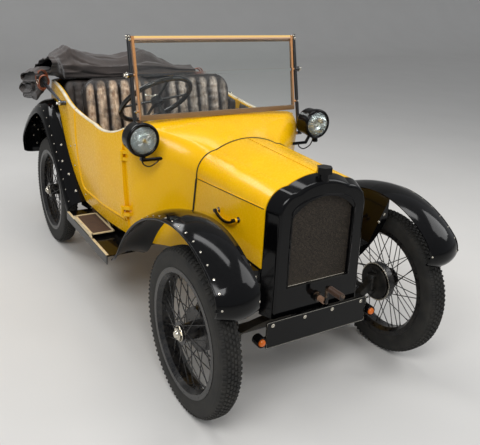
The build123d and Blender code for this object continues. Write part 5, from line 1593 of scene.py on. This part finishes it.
# Number plate: pressed black steel left blank, with a pale line round it and four bolts. The two indicators
# beside it are black cups with small amber domes.
plate_line = bmesh.new()
line = []
for cx, cz, start in ((0.247, 0.051, 0), (-0.247, 0.051, 90), (-0.247, -0.051, 180), (0.247, -0.051, 270)):
    for k in range(5):
        a = math.radians(start + 22.5 * k)
        line.append(Vector((cx + 0.005 * math.cos(a), back(-150.4), 0.322 + cz + 0.005 * math.sin(a))))
add_tube(plate_line, line, 0.0013, 6, closed=True)
piece("plate_line", plate_line, nickel, "car")
spots = [((x, back(-150), 0.362), (0, -1, 0), (1, 0, 0)) for x in (-0.225, -0.070, 0.070, 0.225)]
strew("plate_bolts", round_head(0.0055, 0.0042), spots, nickel, "car")
# Moulded orange glass with a faint painted glow that stands for light thrown back by its lamp's reflector
amber_with_painted_glow = clouded(
    "amber lens glass", (120, 3, 0.5), ("D9590E", "F58A2A"), (0.08, 0.2), (0.15, 0.0008),
    gloss_cloud=(300, 2, 0.5),
    relief_cloud=(500, 2, 0.5), Transmission_Weight=0.35, IOR=1.5, Emission_Color="FF7A1E",
    Emission_Strength=0.12)
dress(stove_enamel, "indicators")
for side, name in ((1, "left"), (-1, "right")):
    dome = bmesh.new()
    add_turned(dome, [(0.0, 0.0), (0.0, 0.0150), (0.004, 0.0148), (0.009, 0.0122), (0.0130, 0.0070),
                      (0.0145, 0.0)], (side * 0.280, back(-159.5), 0.306), (0, -1, 0), 28)
    piece(f"indicator_dome_{name}", dome, amber_with_painted_glow, "car", 60)
    cup = bmesh.new()
    add_turned(cup, [(-0.004, 0.0215), (0.0015, 0.0222), (0.0035, 0.0205), (0.0020, 0.0165), (0.0, 0.0155)],
               (side * 0.280, back(-160), 0.306), (0, -1, 0), 28)
    piece(f"indicator_rim_{name}", cup, stove_enamel, "car", 60)

# Starting handle: a forged steel crank, japanned, that stays in its guide in front of the radiator. Its loose
# grip is turned from brown wood and ribbed for the hand, with a paler collar on the shaft.
dress(japan, "starting_handle")
# Grain runs along both woods, in streaks about 3 mm apart and 3 cm long
woods = []
for name, dark, light in (("brown turned wood", "2A1A11", "523826"),
                          ("pale turned collar wood", "5B4030", "9C7A60")):
    # Silky, with the grain just proud enough to catch the light
    wood, tree, shader, place = finish(name)
    along = node(tree, "ShaderNodeMapping", 0, {"Vector": place, "Scale": (300, 30, 300)})
    streaks = node(tree, "ShaderNodeTexNoise", 0, {"Vector": along, "Scale": 1, "Detail": 4,
                                                   "Roughness": 0.5})
    gloss = node(tree, "ShaderNodeMapRange", 0, {"Value": streaks, "To Min": 0.35, "To Max": 0.55})
    paint = node(tree, "ShaderNodeMix", 2, {0: streaks, 6: dark, 7: light}, data_type="RGBA")
    set_shader(tree, shader, [(streaks, 0.15, 0.0006)], Base_Color=paint, Roughness=gloss)
    woods.append(wood)
grip_wood, collar_wood = woods
top = hit("starting_handle", (0.0, back(-240), 0.70), (0, 0, -1))
if top:
    axis = Vector((0.0, back(-200), top[0].z - 0.013))
    profile = [(0.0, 0.0), (0.0, 0.0125)]
    for k in range(9):
        along = 0.004 + 0.0082 * k
        profile += [(along, 0.0134), (along + 0.0022, 0.0148),
                    (along + 0.0052, 0.0148), (along + 0.0070, 0.0134)]
    profile += [(0.0772, 0.0118), (0.0785, 0.0)]
    sleeve = bmesh.new()
    add_turned(sleeve, profile, axis, (0, -1, 0), 24)
    piece("handle_grip", sleeve, grip_wood, "car", 35)
shaft = hit("starting_handle", (0.0, back(-160), 0.70), (0, 0, -1))
if shaft:
    profile = [(0.0, 0.0), (0.0, 0.0100)]
    for k in range(6):
        along = 0.002 + 0.0074 * k
        profile += [(along, 0.0104), (along + 0.0020, 0.0124),
                    (along + 0.0048, 0.0124), (along + 0.0064, 0.0104)]
    profile += [(0.0470, 0.0)]
    collar = bmesh.new()
    add_turned(collar, profile, Vector((0.0, back(-134), shaft[0].z - 0.008)), (0, -1, 0), 24)
    piece("handle_collar", collar, collar_wood, "car", 35)
